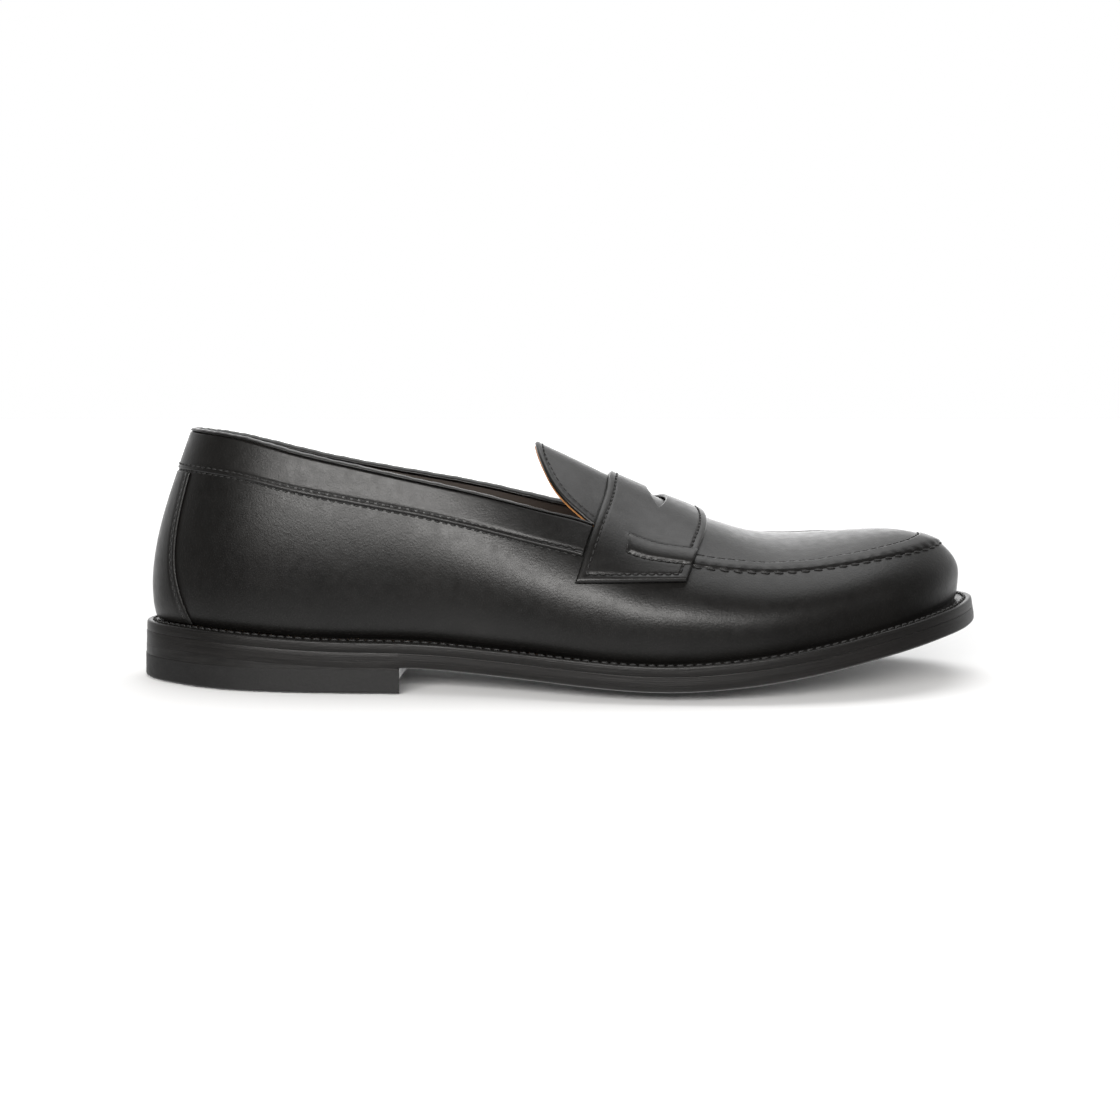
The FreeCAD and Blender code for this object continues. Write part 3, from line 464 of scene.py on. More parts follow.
def leather(name, dark, light, rough=(0.36, 0.46), pore=1500.0, depth=0.00006, specular=0.5):
    """Smooth calf: cloudy dye, fine pores, and faint creases that follow no direction."""
    m = Material(name, specular=specular)
    cloud = m.noise(45.0, 4.0)
    colour = m.blend(m.spread(cloud, 0, 1), dark, light)
    cell = m.node("TexVoronoi", Vector=m.place, Scale=pore)
    cell.feature = "SMOOTH_F1"
    fine = m.noise(pore * 2.2, 2.0)
    normal = m.bump(cell.outputs["Distance"], depth, 0.55)
    normal = m.bump(fine, depth * 0.7, 0.5, normal)
    normal = m.bump(m.noise(130.0, 5.0, roughness=0.6), 0.00010, 0.6, normal)
    return m.done(colour, m.spread(m.noise(300.0, 3.0), *rough), normal)


def edge_leather(name, dark, light, rough=(0.34, 0.5)):
    """Dressed sole edge: stacked fibres show as streaks that run along the edge."""
    m = Material(name, specular=0.24)
    run = m.node("Attribute")
    run.attribute_name = "run"
    fibres = m.scaled(run.outputs["Vector"], (0.035, 2.6, 1.0))
    streak = m.noise(1.0, 5.0, fibres, 0.65)
    colour = m.blend(m.spread(streak, 0, 1), dark, light)
    normal = m.bump(streak, 0.00012, 0.7)
    normal = m.bump(m.noise(1800.0, 3.0), 0.00004, 0.5, normal)
    return m.done(colour, m.spread(m.noise(60.0, 4.0, fibres), *rough), normal)


def grained(name, dark, light, scale, depth, rough, specular=0.4, metallic=0.0, stretch=(1, 1, 1)):
    m = Material(name, specular=specular, Metallic=metallic)
    grain = m.noise(scale, 5.0, m.scaled(m.place, stretch), 0.6)
    colour = m.blend(m.spread(grain, 0, 1), dark, light)
    return m.done(colour, m.spread(m.noise(scale * 0.3, 3.0), *rough), m.bump(grain, depth, 0.8))


BLACK = leather("calf_black", (0.0034, 0.0032, 0.0030), (0.0060, 0.0056, 0.0052),
                (0.33, 0.42), specular=0.34)
FOLDED = leather("calf_black_folded", (0.0032, 0.0030, 0.0028), (0.0055, 0.0052, 0.0049),
                 (0.30, 0.40), specular=0.34)
TAN = leather("lining_tan", (0.36, 0.155, 0.050), (0.50, 0.235, 0.085), (0.50, 0.62), 1200.0, 0.00008)
# Quarter lining: dark brown in place of the other linings' tan, painted shade for the shadowed inside
# of the shoe
SHADE_PAINTED_LINING = leather("lining_dark", (0.020, 0.0155, 0.0125), (0.034, 0.026, 0.021), (0.50, 0.62),
                      1200.0, 0.00008)
SOLE_EDGE = edge_leather("sole_edge_black", (0.0040, 0.0038, 0.0037), (0.0135, 0.0125, 0.0120))
WELT_EDGE = edge_leather("welt_black", (0.0040, 0.0038, 0.0037), (0.0120, 0.0112, 0.0107), (0.32, 0.46))
HEEL_STACK = grained("heel_stack_black", (0.0042, 0.0040, 0.0039), (0.0125, 0.0117, 0.0112), 900.0,
                     0.00010, (0.36, 0.52), stretch=(0.06, 0.06, 1.0))
RUBBER = grained("top_piece_rubber", (0.0050, 0.0048, 0.0048), (0.0095, 0.0092, 0.0092), 1300.0,
                 0.00006, (0.50, 0.64), 0.35)
CORK = grained("cork", (0.20, 0.105, 0.050), (0.42, 0.26, 0.13), 420.0, 0.0003, (0.75, 0.92), 0.25)
INSOLE = grained("insole_leather", (0.40, 0.24, 0.13), (0.55, 0.36, 0.21), 700.0, 0.0001,
                 (0.6, 0.8), 0.3)
STIFF = grained("stiffener", (0.33, 0.27, 0.19), (0.48, 0.41, 0.31), 900.0, 0.0001, (0.7, 0.85), 0.3)
STEEL = grained("shank_steel", (0.36, 0.37, 0.38), (0.52, 0.53, 0.54), 500.0, 0.00003, (0.28, 0.42),
                0.5, 1.0, (0.1, 1.0, 1.0))
NAIL = grained("nail_steel", (0.45, 0.40, 0.30), (0.62, 0.56, 0.44), 900.0, 0.00003,
               (0.25, 0.38), 0.5, 1.0)
THREAD = grained("thread_black", (0.0045, 0.0043, 0.0042), (0.011, 0.0104, 0.010), 3500.0, 0.00008,
                 (0.48, 0.64), 0.45)

# The quarter lining takes the dark brown lining, painted shade for the shoe's shadowed inside
for name, material in {
        "top_piece": RUBBER, "heel_lift": HEEL_STACK, "heel_nails": NAIL, "shank": STEEL,
        "cork_filler": CORK, "insole": INSOLE, "sock_lining": TAN, "quarter_lining": SHADE_PAINTED_LINING,
        "vamp_lining": TAN, "apron_lining": TAN, "tongue_lining": TAN, "heel_counter": STIFF,
        "toe_puff": STIFF}.items():
    nodes[name].data.materials.clear()
    nodes[name].data.materials.append(material)
    nodes[name].data.polygons.foreach_set("material_index", [0] * len(nodes[name].data.polygons))


def seam_piece(shape, name, node, body="shoe"):
    """A seam's stitches as one piece, left unmerged so that each stays a closed tube."""
    return shape.piece(name, THREAD, body, "thread_black", [node], merge=False)


# ------------------------------ sole and welt
ROUND = np.linspace(0, STATIONS, 16 * STATIONS + 1)[:-1]


def sole_spot(q, distance, height):
    """Point of the sole: inset from the edge, and height over its lower face, square to it."""
    plan = inset(q, distance)
    x = plan[..., 0] + (OUTSOLE + WELT - height) * sole_slope(plan[..., 0])
    y = plan[..., 1]
    return np.stack([x, y, sole_bottom(x, y) + height], -1)


def arc_profile(corner, radius, start, end, count=5):
    """Profile points (inset, height) round a corner."""
    turn = np.radians(np.linspace(start, end, count))
    return [(corner[0] + radius * math.cos(a), corner[1] + radius * math.sin(a)) for a in turn]


def profile_grid(profile, heel_profile=None):
    """The profile carried round the sole; over the heel it may turn into another one."""
    profile = np.broadcast_to(np.array(profile), (len(ROUND), len(profile), 2))
    if heel_profile is not None:
        over_heel = smooth((BREAST_X + 2 - edge_line(ROUND)[:, 0]) / 5)[:, None, None]
        profile = profile + (np.array(heel_profile) - profile) * over_heel
    grid = sole_spot(ROUND[:, None], profile[..., 0], profile[..., 1])
    length = np.broadcast_to(run_along(grid[:, 0])[:, None], grid.shape[:2])
    run = np.stack([length, profile[..., 1]], -1)
    return grid, run


def outsole():
    """Leather sole with rounded edges; its flat faces close on the sole's middle line."""
    flank = [(-0.05, 2.0), (-0.10, 2.6), (-0.06, 3.4), (0.0, OUTSOLE - 0.45)]
    rim = arc_profile((0.10, OUTSOLE - 0.10), 0.10, 180, 90, 4)
    side = arc_profile((0.9, 0.9), 0.9, 270, 180) + flank + rim
    flush = [(min(x, -0.12), z) for x, z in flank]
    flush = arc_profile((-0.10, 0.05), 0.05, 270, 180) + flush + rim
    grid, run = profile_grid(side, flush)
    x = np.clip(edge_line(ROUND)[:, 0], -116, 112)
    middle = np.stack([x, sole_line(x)[:, 2]], -1)
    shape = Shape()
    rows = []
    for share, first in ((np.array([0.985, 0.9, 0.75, 0.6, 0.4, 0.2, 0.08]), True),
                         (np.array([0.1, 0.4, 0.7, 0.94]), False)):
        edge = grid[:, 0] if first else grid[:, -1]
        xy = edge[:, None, :2] + (middle - edge[:, :2])[:, None] * share[None, :, None]
        z = sole_bottom(xy[..., 0], xy[..., 1]) + (0.0 if first else OUTSOLE)
        rows.append(np.concatenate([xy, z[..., None]], -1))
    full = np.concatenate([rows[0], grid, rows[1]], 1)
    pad = [np.repeat(run[:, k][:, None], rows[i].shape[1], 1) for i, k in ((0, 0), (1, -1))]
    start = shape.grid(full, close_m=True, run=np.concatenate([pad[0], run, pad[1]], 1))
    n = full.shape[1]
    shape.zip_up(start + np.arange(len(ROUND)) * n, full[:, 0])
    shape.zip_up(start + np.arange(len(ROUND)) * n + n - 1, full[:, -1])
    return shape.piece("outsole_leather", SOLE_EDGE, "shoe", "sole_leather", ["outsole"])


def welt():
    """Welt strip: rounded edge, ledge with the seam's channel, and a flat part running on under the
    upper.
    """
    top = OUTSOLE + WELT
    profile = (arc_profile((0.16, OUTSOLE + 0.14), 0.10, 270, 180, 4)
               + [(0.02, OUTSOLE + 1.2), (0.04, OUTSOLE + 2.0)]
               + arc_profile((0.10 + 0.8, top - 0.8), 0.8, 180, 90, 6)
               + [(1.7, top), (2.05, top - 0.10), (2.35, top - 0.28), (WELT_ROW, top - 0.34),
                  (2.85, top - 0.28), (3.15, top - 0.08), (3.6, top), (4.2, top - 0.05),
                  (6.0, top - 0.10), (9.0, top - 0.10), (WELT_WIDTH, top - 0.10),
                  (WELT_WIDTH, OUTSOLE + 0.04), (6.0, OUTSOLE + 0.04)])
    grid, run = profile_grid(profile)
    shape = Shape()
    shape.grid(grid, close_m=True, close_n=True, run=run)
    return shape.piece("welt_strip", WELT_EDGE, "shoe", "welt_leather", ["welt"])


def welt_seam():
    q = np.linspace(0, STATIONS, 3200)
    path = sole_spot(q, np.full(q.shape, WELT_ROW), OUTSOLE + WELT - 0.12)
    normal = np.stack([-sole_slope(path[:, 0]), np.zeros_like(q), np.ones_like(q)], -1)
    shape = stitches(Shape(), path, normal, pitch=3.1, length=2.75, width=0.95, height=0.30)
    return seam_piece(shape, "welt_seam", "welt_stitching")


outsole()
welt()
welt_seam()

# ------------------------------ side wall and apron roll
SEAM_PITCH = 4.7


def toe_part(q, width):
    """1 at the tip of the toe, falling to 0 along the sides."""
    return np.exp(-((q - TOE_TIP) / width) ** 2)


def row_inside(q):
    """Distance of the upper seam row from the apron's seam, in over the apron."""
    return 1.9 + 4.9 * toe_part(q, 1.4)


def row_below(q):
    """Distance of the lower seam row from the apron's seam, down the wall."""
    return 1.9 - 1.6 * toe_part(q, 1.0)


def side_wall():
    """Closed ring of leather; the lowest strip tucks in where it meets the welt."""
    q = ROUND[:, None]
    v = np.concatenate([[0.0, 0.004, 0.010, 0.018, 0.028], np.linspace(0.04, 0.995, 54)])[None, :]
    height = wall_height(ROUND)[:, None]
    tuck = -0.9 * np.exp(-(v * height / 1.3) ** 2)
    back = np.minimum(ROUND, STATIONS - ROUND)[:, None]
    seam_line = -0.35 * groove(back * 11, 1.0)
    outer = wall_off(q, v, tuck + seam_line)
    inner = wall_off(q, v[:, ::3], np.full((len(ROUND), v[:, ::3].shape[1]), -LEATHER))
    shape = Shape()
    shape.grid(np.concatenate([outer, inner[:, ::-1]], 1), close_m=True, close_n=True)
    return shape


def seam_section(q, u):
    """Surface across the apron seam: u < 0 goes down the wall and u > 0 in over the apron."""
    v = 1 + np.minimum(u, 0) / wall_height(q)
    down = wall(q, v)
    xy = top_line(q)[..., :2] + np.maximum(u, 0)[..., None] * inward_of(top_line, q)
    over = np.concatenate([xy, instep(xy[..., 0], xy[..., 1])[..., None]], -1)
    return np.where((u < 0)[..., None], down, over)


def seam_grid(q, u_low, u_high, passes=26, step=0.3):
    """Section points with the corner at the seam rounded, and their outward normals."""
    u = np.arange(u_low - 6.0, u_high + 6.0, step)
    points = seam_section(q[:, None], np.broadcast_to(u, (len(q), len(u))))
    for _ in range(passes):
        points[:, 1:-1] = (points[:, :-2] + 2 * points[:, 1:-1] + points[:, 2:]) / 4
    along = np.gradient(points, axis=0)
    across = np.gradient(points, axis=1)
    return u, points, unit(np.cross(along, across))


def at_u(u, grid, want):
    """Points of a section grid at the wanted u, one row of them for each section."""
    i = np.clip(np.searchsorted(u, want) - 1, 0, len(u) - 2)
    w = ((want - u[i]) / (u[i + 1] - u[i]))[..., None]
    column = np.arange(len(grid))[:, None]
    return grid[column, i] * (1 - w) + grid[column, i + 1] * w


ROLL_Q = np.linspace(APRON_START, APRON_END, 760)
seam_u, seam_points, seam_normals = seam_grid(ROLL_Q, -2.5, 7.5)


def apron_roll(shape):
    """Rounded ridge between the two seam rows, gathered a little at every outer stitch."""
    low, high = -row_below(ROLL_Q)[:, None] - 0.6, row_inside(ROLL_Q)[:, None] - 0.1
    t = ease(1.0, 0.16, 24, 6)[None, :]
    u = low + (high - low) * t
    gather = (0.5 + 0.5 * np.cos(2 * np.pi * run_along(top_line(ROLL_Q)) / SEAM_PITCH))[:, None]
    low_part = np.exp(-((u - low) / 1.3) ** 2)
    full = dome(u - low, 0.9) * dome(high - u, 0.8)
    height = (0.62 + 0.16 * np.exp(-((u + 0.6) / 1.2) ** 2) - 0.24 * gather * low_part) * full
    points, normals = at_u(seam_u, seam_points, u), at_u(seam_u, seam_normals, u)
    shape.shell(points + normals * (height - 0.35 * (1 - full))[..., None],
                points - normals * (0.9 - 0.55 * (1 - full))[..., None])
    return shape


apron_roll(side_wall()).piece("side_wall", BLACK, "shoe", "upper_black", ["upper_wall"])


def apron_seams():
    shape = Shape()
    for u, pitch, length, width, height, slant in (
            (row_inside(ROLL_Q) + 0.25, 3.6, 3.0, 0.75, 0.12, 0.0),
            (-row_below(ROLL_Q) - 0.75, SEAM_PITCH, 3.3, 0.80, 0.16, 0.16)):
        path, normal = (at_u(seam_u, grid, u[:, None])[:, 0] for grid in (seam_points, seam_normals))
        stitches(shape, path, normal, pitch, length, width, height, slant=slant)
    return seam_piece(shape, "apron_seams", "apron_stitching")


apron_seams()

# ------------------------------ apron and tongue
tongue_edge = Spline([0.0, 0.35, 0.6, 0.8, 0.92, 1.0],
                     [(-8.7,), (-7.4,), (-4.6,), (-0.6,), (4.4,), (10.0,)])


def tongue_outline(half, trim, count):
    """Rear edge of the tongue from the inner side to the outer one."""
    w = np.sin(np.linspace(np.pi / 2, -np.pi / 2, count))
    return np.stack([tongue_edge(np.abs(w))[:, 0] + trim, w * (half - trim)], -1)


def apron_outline():
    """Closed plan of apron and tongue: the seam round the toe, then the tongue's edge."""
    q = np.linspace(APRON_START, APRON_END, 420)
    seam = top_line(q)[:, :2] + (row_inside(q) - 0.5)[:, None] * inward_of(top_line, q)
    tongue = tongue_outline(TONGUE_HALF, 0.0, 150)
    joint = np.linspace(0, 1, 14)[1:-1, None]
    ends = [seam[-1] + (tongue[0] - seam[-1]) * joint, tongue[-1] + (seam[0] - tongue[-1]) * joint]
    line = np.concatenate([seam, ends[0], tongue, ends[1]])
    for _ in range(6):
        line = (np.roll(line, 1, 0) + 2 * line + np.roll(line, -1, 0)) / 4
    return line


def apron_and_tongue():
    """One piece of leather from the toe seam to the tongue's folded edge."""
    line = apron_outline()
    middle = np.stack([np.clip(line[:, 0], 6.0, 118.0), np.zeros(len(line))], -1)
    middle[:, 1] = 5.0 * smooth((middle[:, 0] - 60) / 60)
    reach = np.linalg.norm(middle - line, axis=1)
    radius, border = 0.75, 4.5      # of the rounded edge, and of the finer rows beside it
    fine = np.concatenate([ease(60.0, radius, 2, 6)[:6], [1.0, 1.4, 1.8, 2.2, 2.6, 3.0, 3.6, border]])
    near = (border / reach)[:, None]
    share = np.concatenate([fine[None, :] / reach[:, None],
                            near + (0.985 - near) * np.linspace(0, 1, 34)[None, 1:]], 1)
    distance = share * reach[:, None]
    xy = line[:, None] + (middle - line)[:, None] * share[..., None]
    x, y = xy[..., 0], xy[..., 1]
    full = dome(distance, radius)
    on_tongue = smooth((15.0 - line[:, 0]) / 8.0)[:, None]
    fold = on_tongue * (0.22 * np.exp(-((distance - 1.1) / 0.8) ** 2)
                        - 0.22 * groove(distance - TONGUE_ROW, 0.38))
    surface = instep_at(x, y)
    normal = instep_normal(x, y)
    outer = surface + normal * (-0.6 + (0.6 + fold) * full)[..., None]
    inner = surface + normal * (-0.6 - (LEATHER - 0.6) * full)[..., None]
    shape = Shape()
    for grid in (outer, inner[:, ::-1]):
        start = shape.grid(grid, close_m=True)
        end = grid.shape[1] - 1 if grid is outer else 0
        shape.zip_up(start + np.arange(len(line)) * grid.shape[1] + end, grid[:, end])
    piece = shape.piece("apron_and_tongue", BLACK, None, "upper_black", ["apron", "tongue"])
    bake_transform(piece)
    return piece


def tongue_seam():
    path = tongue_outline(TONGUE_HALF, TONGUE_ROW, 700)[20:-20]
    x, y = path[:, 0], path[:, 1]
    normal = instep_normal(x, y)
    shape = stitches(Shape(), instep_at(x, y) + normal * -0.12, normal,
                     pitch=2.7, length=2.3, width=0.6, height=0.12)
    return seam_piece(shape, "tongue_seam", "tongue_stitching", "tongue")


apron_and_tongue()
tongue_seam()

# ------------------------------ strap
# Girth fraction from the crown (0) to the strap's end (1): rear edge x, front edge x
strap_edges = Spline([0.0, 0.3, 0.5, 0.7, 0.85, 1.0],
                     [(17.3, 50.8), (15.7, 51.2), (13.4, 49.8), (10.4, 47.0), (7.8, 44.6), (5.0, 41.8)])
STRAP_END, GIRTH = 38.0, 12


def taut(points):
    """Upper convex hull of a section: the line that leather pulled over it follows."""
    line = []
    for p in points[np.argsort(points[:, 0], kind="stable")]:
        while len(line) > 1 and ((line[-1][0] - line[-2][0]) * (p[1] - line[-2][1])
                                 >= (line[-1][1] - line[-2][1]) * (p[0] - line[-2][0])):
            line.pop()
        line.append(p)
    return np.array(line)


def girth(x):
    """Section (y, z) of the upper at x from the outer strap end over the crown to the inner one."""
    sides = []
    for guess in (10.0, 26.0):
        low, high = 0.35, 1.0
        for _ in range(20):
            v = (low + high) / 2
            if wall(station_at(x, v, guess), v)[2] < STRAP_END:
                low = v
            else:
                high = v
        heights = np.linspace(low, 0.99, 14)
        sides.append(np.array([wall(station_at(x, v, guess), v)[1:] for v in heights]))
    over = np.linspace(sides[0][-1, 0] + 1.5, sides[1][-1, 0] - 1.5, 31)
    top = np.stack([over, instep(np.full(31, x), over)], -1)
    line = taut(np.concatenate([sides[0], top, sides[1][::-1]]))
    crown = int(np.argmax(line[:, 1]))
    halves = []
    for run in (line[crown::-1], line[crown:]):
        length = run_along(run)
        halves.append(Spline(length, run)(length[-1] * np.arange(GIRTH + 1) / GIRTH))
    return np.concatenate([halves[0][::-1], halves[1][1:]])


def strap_net(columns=13):
    section_x = np.linspace(2, 56, 10)
    count = 2 * GIRTH + 1
    sections = Spline(section_x, [girth(float(x)).ravel() for x in section_x])
    rear, front = strap_edges(np.abs(np.arange(count) - GIRTH) / GIRTH).T
    net = []
    for a in np.linspace(0, 1, columns):
        x = rear + (front - rear) * a
        flat = sections(x).reshape(count, count, 2)
        for _ in range(2):
            flat[:, 1:-1] = (flat[:, :-2] + 2 * flat[:, 1:-1] + flat[:, 2:]) / 4
        net.append(np.column_stack([x, flat[np.arange(count), np.arange(count)]]))
    return np.array(net)


NET = strap_net()
net_a = Spline(np.linspace(0, 1, len(NET)), np.eye(len(NET)))
net_g = Spline(np.linspace(-1, 1, NET.shape[1]), np.eye(NET.shape[1]))


def strap_at(a, g):
    """Taut surface under the strap: a from rear to front edge, g from outer (-1) to inner end (1)."""
    a, g = np.broadcast_arrays(np.asarray(a, float), np.asarray(g, float))
    return np.einsum("...i,...j,ijk->...k", net_a(a), net_g(g), NET, optimize=True)


def strap_normal(a, g):
    return outward(strap_at, a, g, 0.01, 0.01)


def lengths_along(points, axis):
    return np.linalg.norm(np.diff(points, axis=axis), axis=-1).sum(axis)


many = np.linspace(-1, 1, 81)
widths = lengths_along(strap_at(np.linspace(0, 1, 40)[:, None], many[None]), 0)
strap_width = Spline(many, widths[:, None])
HALF_GIRTH = float(lengths_along(strap_at(0.5, np.linspace(-1, 1, 400)), 0)) / 2


def seam_under_strap(side):
    """Girth fraction at which the apron seam passes under the strap, along a."""
    q = np.linspace(8.6, 12.6, 500) if side < 0 else np.linspace(23.6, 27.6, 500)
    seam, g = top_line(q), side * np.linspace(0.2, 0.9, 400)
    fractions = []
    for a in np.linspace(0, 1, 9):
        gap = np.linalg.norm(strap_at(a, g)[:, None] - seam[None], axis=2).min(1)
        fractions.append((abs(g[int(np.argmin(gap))]),))
    return Spline(np.linspace(0, 1, 9), fractions)


seam_g = {-1: seam_under_strap(-1), 1: seam_under_strap(1)}
TUNNEL_X, TUNNEL_UP, TUNNEL_DOWN = 21.3, 2.7, 4.5
ROW_EDGE, ROW_END = 2.7, 2.4


def below_seam(a, g):
    """Distance along the girth from the apron seam, positive down the side."""
    fraction = np.where(g < 0, seam_g[-1](a)[..., 0], seam_g[1](a)[..., 0])
    return (np.abs(g) - fraction) * HALF_GIRTH


def strap_row(side):
    """One seam row of a half strap: front edge, round the tunnel over the seam, bottom, rear edge."""
    def a_at(x, g):
        rear, front = strap_edges(np.abs(g)).T
        return (x - rear) / (front - rear)

    def g_at(a, e):
        return float(seam_g[side](a)[0]) + e / HALF_GIRTH

    def front_a(g):
        return 1 - ROW_EDGE / float(strap_width(g)[0])
    end_g = 1 - ROW_END / HALF_GIRTH
    up, down = g_at(0.9, -TUNNEL_UP), g_at(0.9, TUNNEL_DOWN)
    corners = [(front_a(0), 0.0), (front_a(up / 2), up / 2), (front_a(up), up)]
    stops = np.linspace(front_a(up), 0, 9)[1:]
    rear_a = float(a_at(TUNNEL_X, np.array(up)))
    for a in [s for s in stops if s > rear_a + 0.04] + [rear_a]:
        corners.append((a, g_at(a, -TUNNEL_UP)))
    rear_b = float(a_at(TUNNEL_X - 0.6, np.array(down)))
    for a in [rear_b] + [s for s in stops[::-1] if s > rear_b + 0.04 and s < front_a(down) - 0.02]:
        corners.append((a, g_at(a, TUNNEL_DOWN)))
    corners += [(front_a(down) - 0.015, down), (front_a(end_g) - 0.015, end_g)]
    rear_row = ROW_EDGE / float(strap_width(1)[0])
    corners += [(a, end_g) for a in np.linspace(front_a(end_g) - 0.1, rear_row, 6)]
    corners += [(ROW_EDGE / float(strap_width(g)[0]), g) for g in np.linspace(end_g, 0, 14)[1:]]
    line = np.array(corners)
    steps = []
    for p, r in zip(line, line[1:]):
        gap = np.hypot((r[0] - p[0]) * 35, (r[1] - p[1]) * HALF_GIRTH)
        steps.append(np.linspace(p, r, max(2, int(gap / 0.25)), endpoint=False))
    line = np.concatenate(steps + [line[-1:]])
    for _ in range(10):
        line[1:-1] = (line[:-2] + 2 * line[1:-1] + line[2:]) / 4
    line[:, 1] *= side
    return line


strap_rows = [strap_row(side) for side in (-1, 1)]
row_spots = np.concatenate([strap_at(r[:, 0], r[:, 1]) for r in strap_rows])


def tunnel(a, g):
    """Rise where the strap passes over the apron's ridge."""
    e = below_seam(a, g)
    middle, half = (TUNNEL_DOWN - TUNNEL_UP) / 2, (TUNNEL_DOWN + TUNNEL_UP) / 2
    round_ = np.sqrt(np.clip(1 - ((e - middle) / half) ** 2, 0, 1))
    x = strap_at(a, g)[..., 0]
    return 1.15 * round_ * smooth((x - TUNNEL_X) / 2.2)


def nearest(points, spots):
    """Distance from each point to the nearest of the spots."""
    flat = points.reshape(-1, 3)
    result = np.empty(len(flat))
    for i in range(0, len(flat), 4000):
        result[i:i + 4000] = np.linalg.norm(flat[i:i + 4000, None] - spots[None], axis=2).min(1)
    return result.reshape(points.shape[:-1])


def strap():
    """Rear and front half of the strap, which meet beyond the coin slot's tips."""
    bevel = 0.6
    g = ease(2 * HALF_GIRTH, bevel, 260, 6) / HALF_GIRTH - 1
    width = strap_width(g)[:, 0]
    rear, front = strap_edges(np.abs(g)).T
    slot_a = (SLOT_X - rear) / (front - rear)
    y = strap_at(slot_a, g)[:, 1]
    radius = (SLOT_HALF ** 2 + SLOT_BOW ** 2) / (2 * SLOT_BOW)
    half = np.sqrt(np.clip(radius ** 2 - y ** 2, 0, None)) - (radius - SLOT_BOW)
    half = np.where(np.abs(y) < SLOT_HALF, np.maximum(half, 0), 0.0)
    lip = np.minimum(half / 0.6, 1.0)[:, None]
    end = ((1 - np.abs(g)) * HALF_GIRTH)[:, None]
    shape = Shape()
    for part in ("rear", "front"):
        if part == "rear":
            a0, a1 = np.zeros(len(g)), slot_a - half / (front - rear)
        else:
            a0, a1 = slot_a + half / (front - rear), np.ones(len(g))
        length = (a1 - a0) * width
        d = np.stack([ease(n, bevel, 44, 6) for n in length])
        a = a0[:, None] + d / width[:, None]
        edge_d, lip_d = (d, length[:, None] - d) if part == "rear" else (length[:, None] - d, d)
        full = dome(edge_d, bevel) * dome(end, bevel) * (1 - (1 - dome(lip_d, 0.5)) * lip)
        spot, normal = strap_at(a, g[:, None]), strap_normal(a, g[:, None])
        border = np.minimum(edge_d, end)
        bead = 0.12 * np.exp(-((border - 1.2) / 0.8) ** 2)
        row = -ROW_DEEP * groove(nearest(spot, row_spots), ROW_WIDE)
        mid = STRAP_LOW + 0.5
        top = mid + (STRAP_HIGH + bead + row + tunnel(a, g[:, None]) - mid) * full
        low = mid - (mid - STRAP_LOW) * full
        outer, inner = spot + normal * top[..., None], spot + normal * low[..., None]
        shape.shell(outer, inner)
        column = -1 if part == "rear" else 0
        inside = np.flatnonzero(half > 0)
        rows = slice(inside[0] - 1, inside[-1] + 2)
        shape.grid(np.stack([outer[rows, column], inner[rows, column]], 1))
    return shape.piece("strap_leather", BLACK, "shoe", "upper_black", ["strap"])


def strap_seam():
    shape = Shape()
    for line in strap_rows:
        a, g = line[:, 0], line[:, 1]
        normal = strap_normal(a, g)
        path = strap_at(a, g) + normal * (STRAP_HIGH - 0.14)
        stitches(shape, path, normal, pitch=2.7, length=2.1, width=0.62, height=0.18)
    return seam_piece(shape, "strap_seam", "strap_stitching")


strap()
strap_seam()

# ------------------------------ collar, binding, back stay
TOP_ENDS = (station_at(11.2, 1.0, 27.0) - STATIONS, station_at(11.2, 1.0, 9.0))


def band_low(q):
    return 1 - (COLLAR_WIDTH + 2.4 * np.maximum(0, 1 - (q / 6.0) ** 2)) / wall_height(q)


LOW_ENDS = (station_at(7.6, band_low(28.0 - STATIONS), 27.2) - STATIONS,
            station_at(7.6, band_low(9.0), 8.8))


def band_q(s, t):
    first, last = (low + (top - low) * t for low, top in zip(LOW_ENDS, TOP_ENDS))
    return first + (last - first) * s


def band_place(s, t, height):
    q = band_q(s, t)
    return wall_off(q, band_low(q) + (0.995 - band_low(q)) * t, height)


def band_width(s):
    q = band_q(s, 0.5)
    return (0.995 - band_low(q)) * wall_height(q)


def collar_band():
    def detail(s, t, across):
        return 0.10 * np.exp(-((t - 0.6) / 0.5) ** 2) - ROW_DEEP * groove(t - COLLAR_ROW, ROW_WIDE)
    shape = pillow(band_place, 330.0, band_width, 0.05, BAND, 0.7, 420, 22, detail)
    return shape.piece("collar_band_leather", BLACK, "shoe", "upper_black", ["collar_band"])


def collar_seam():
    shape = Shape()
    s = np.linspace(0.006, 0.994, 3000)
    for rise, lift in ((COLLAR_ROW, BAND - 0.16), (-0.25, 0.05)):
        q = band_q(s, 0.0)
        v = band_low(q) + rise / wall_height(q)
        normal = outward(wall, q, v)
        stitches(shape, wall_off(q, v, np.full(q.shape, lift)), normal,
                 pitch=2.8, length=2.1, width=0.6, height=0.16)
    return seam_piece(shape, "collar_seam", "collar_stitching")


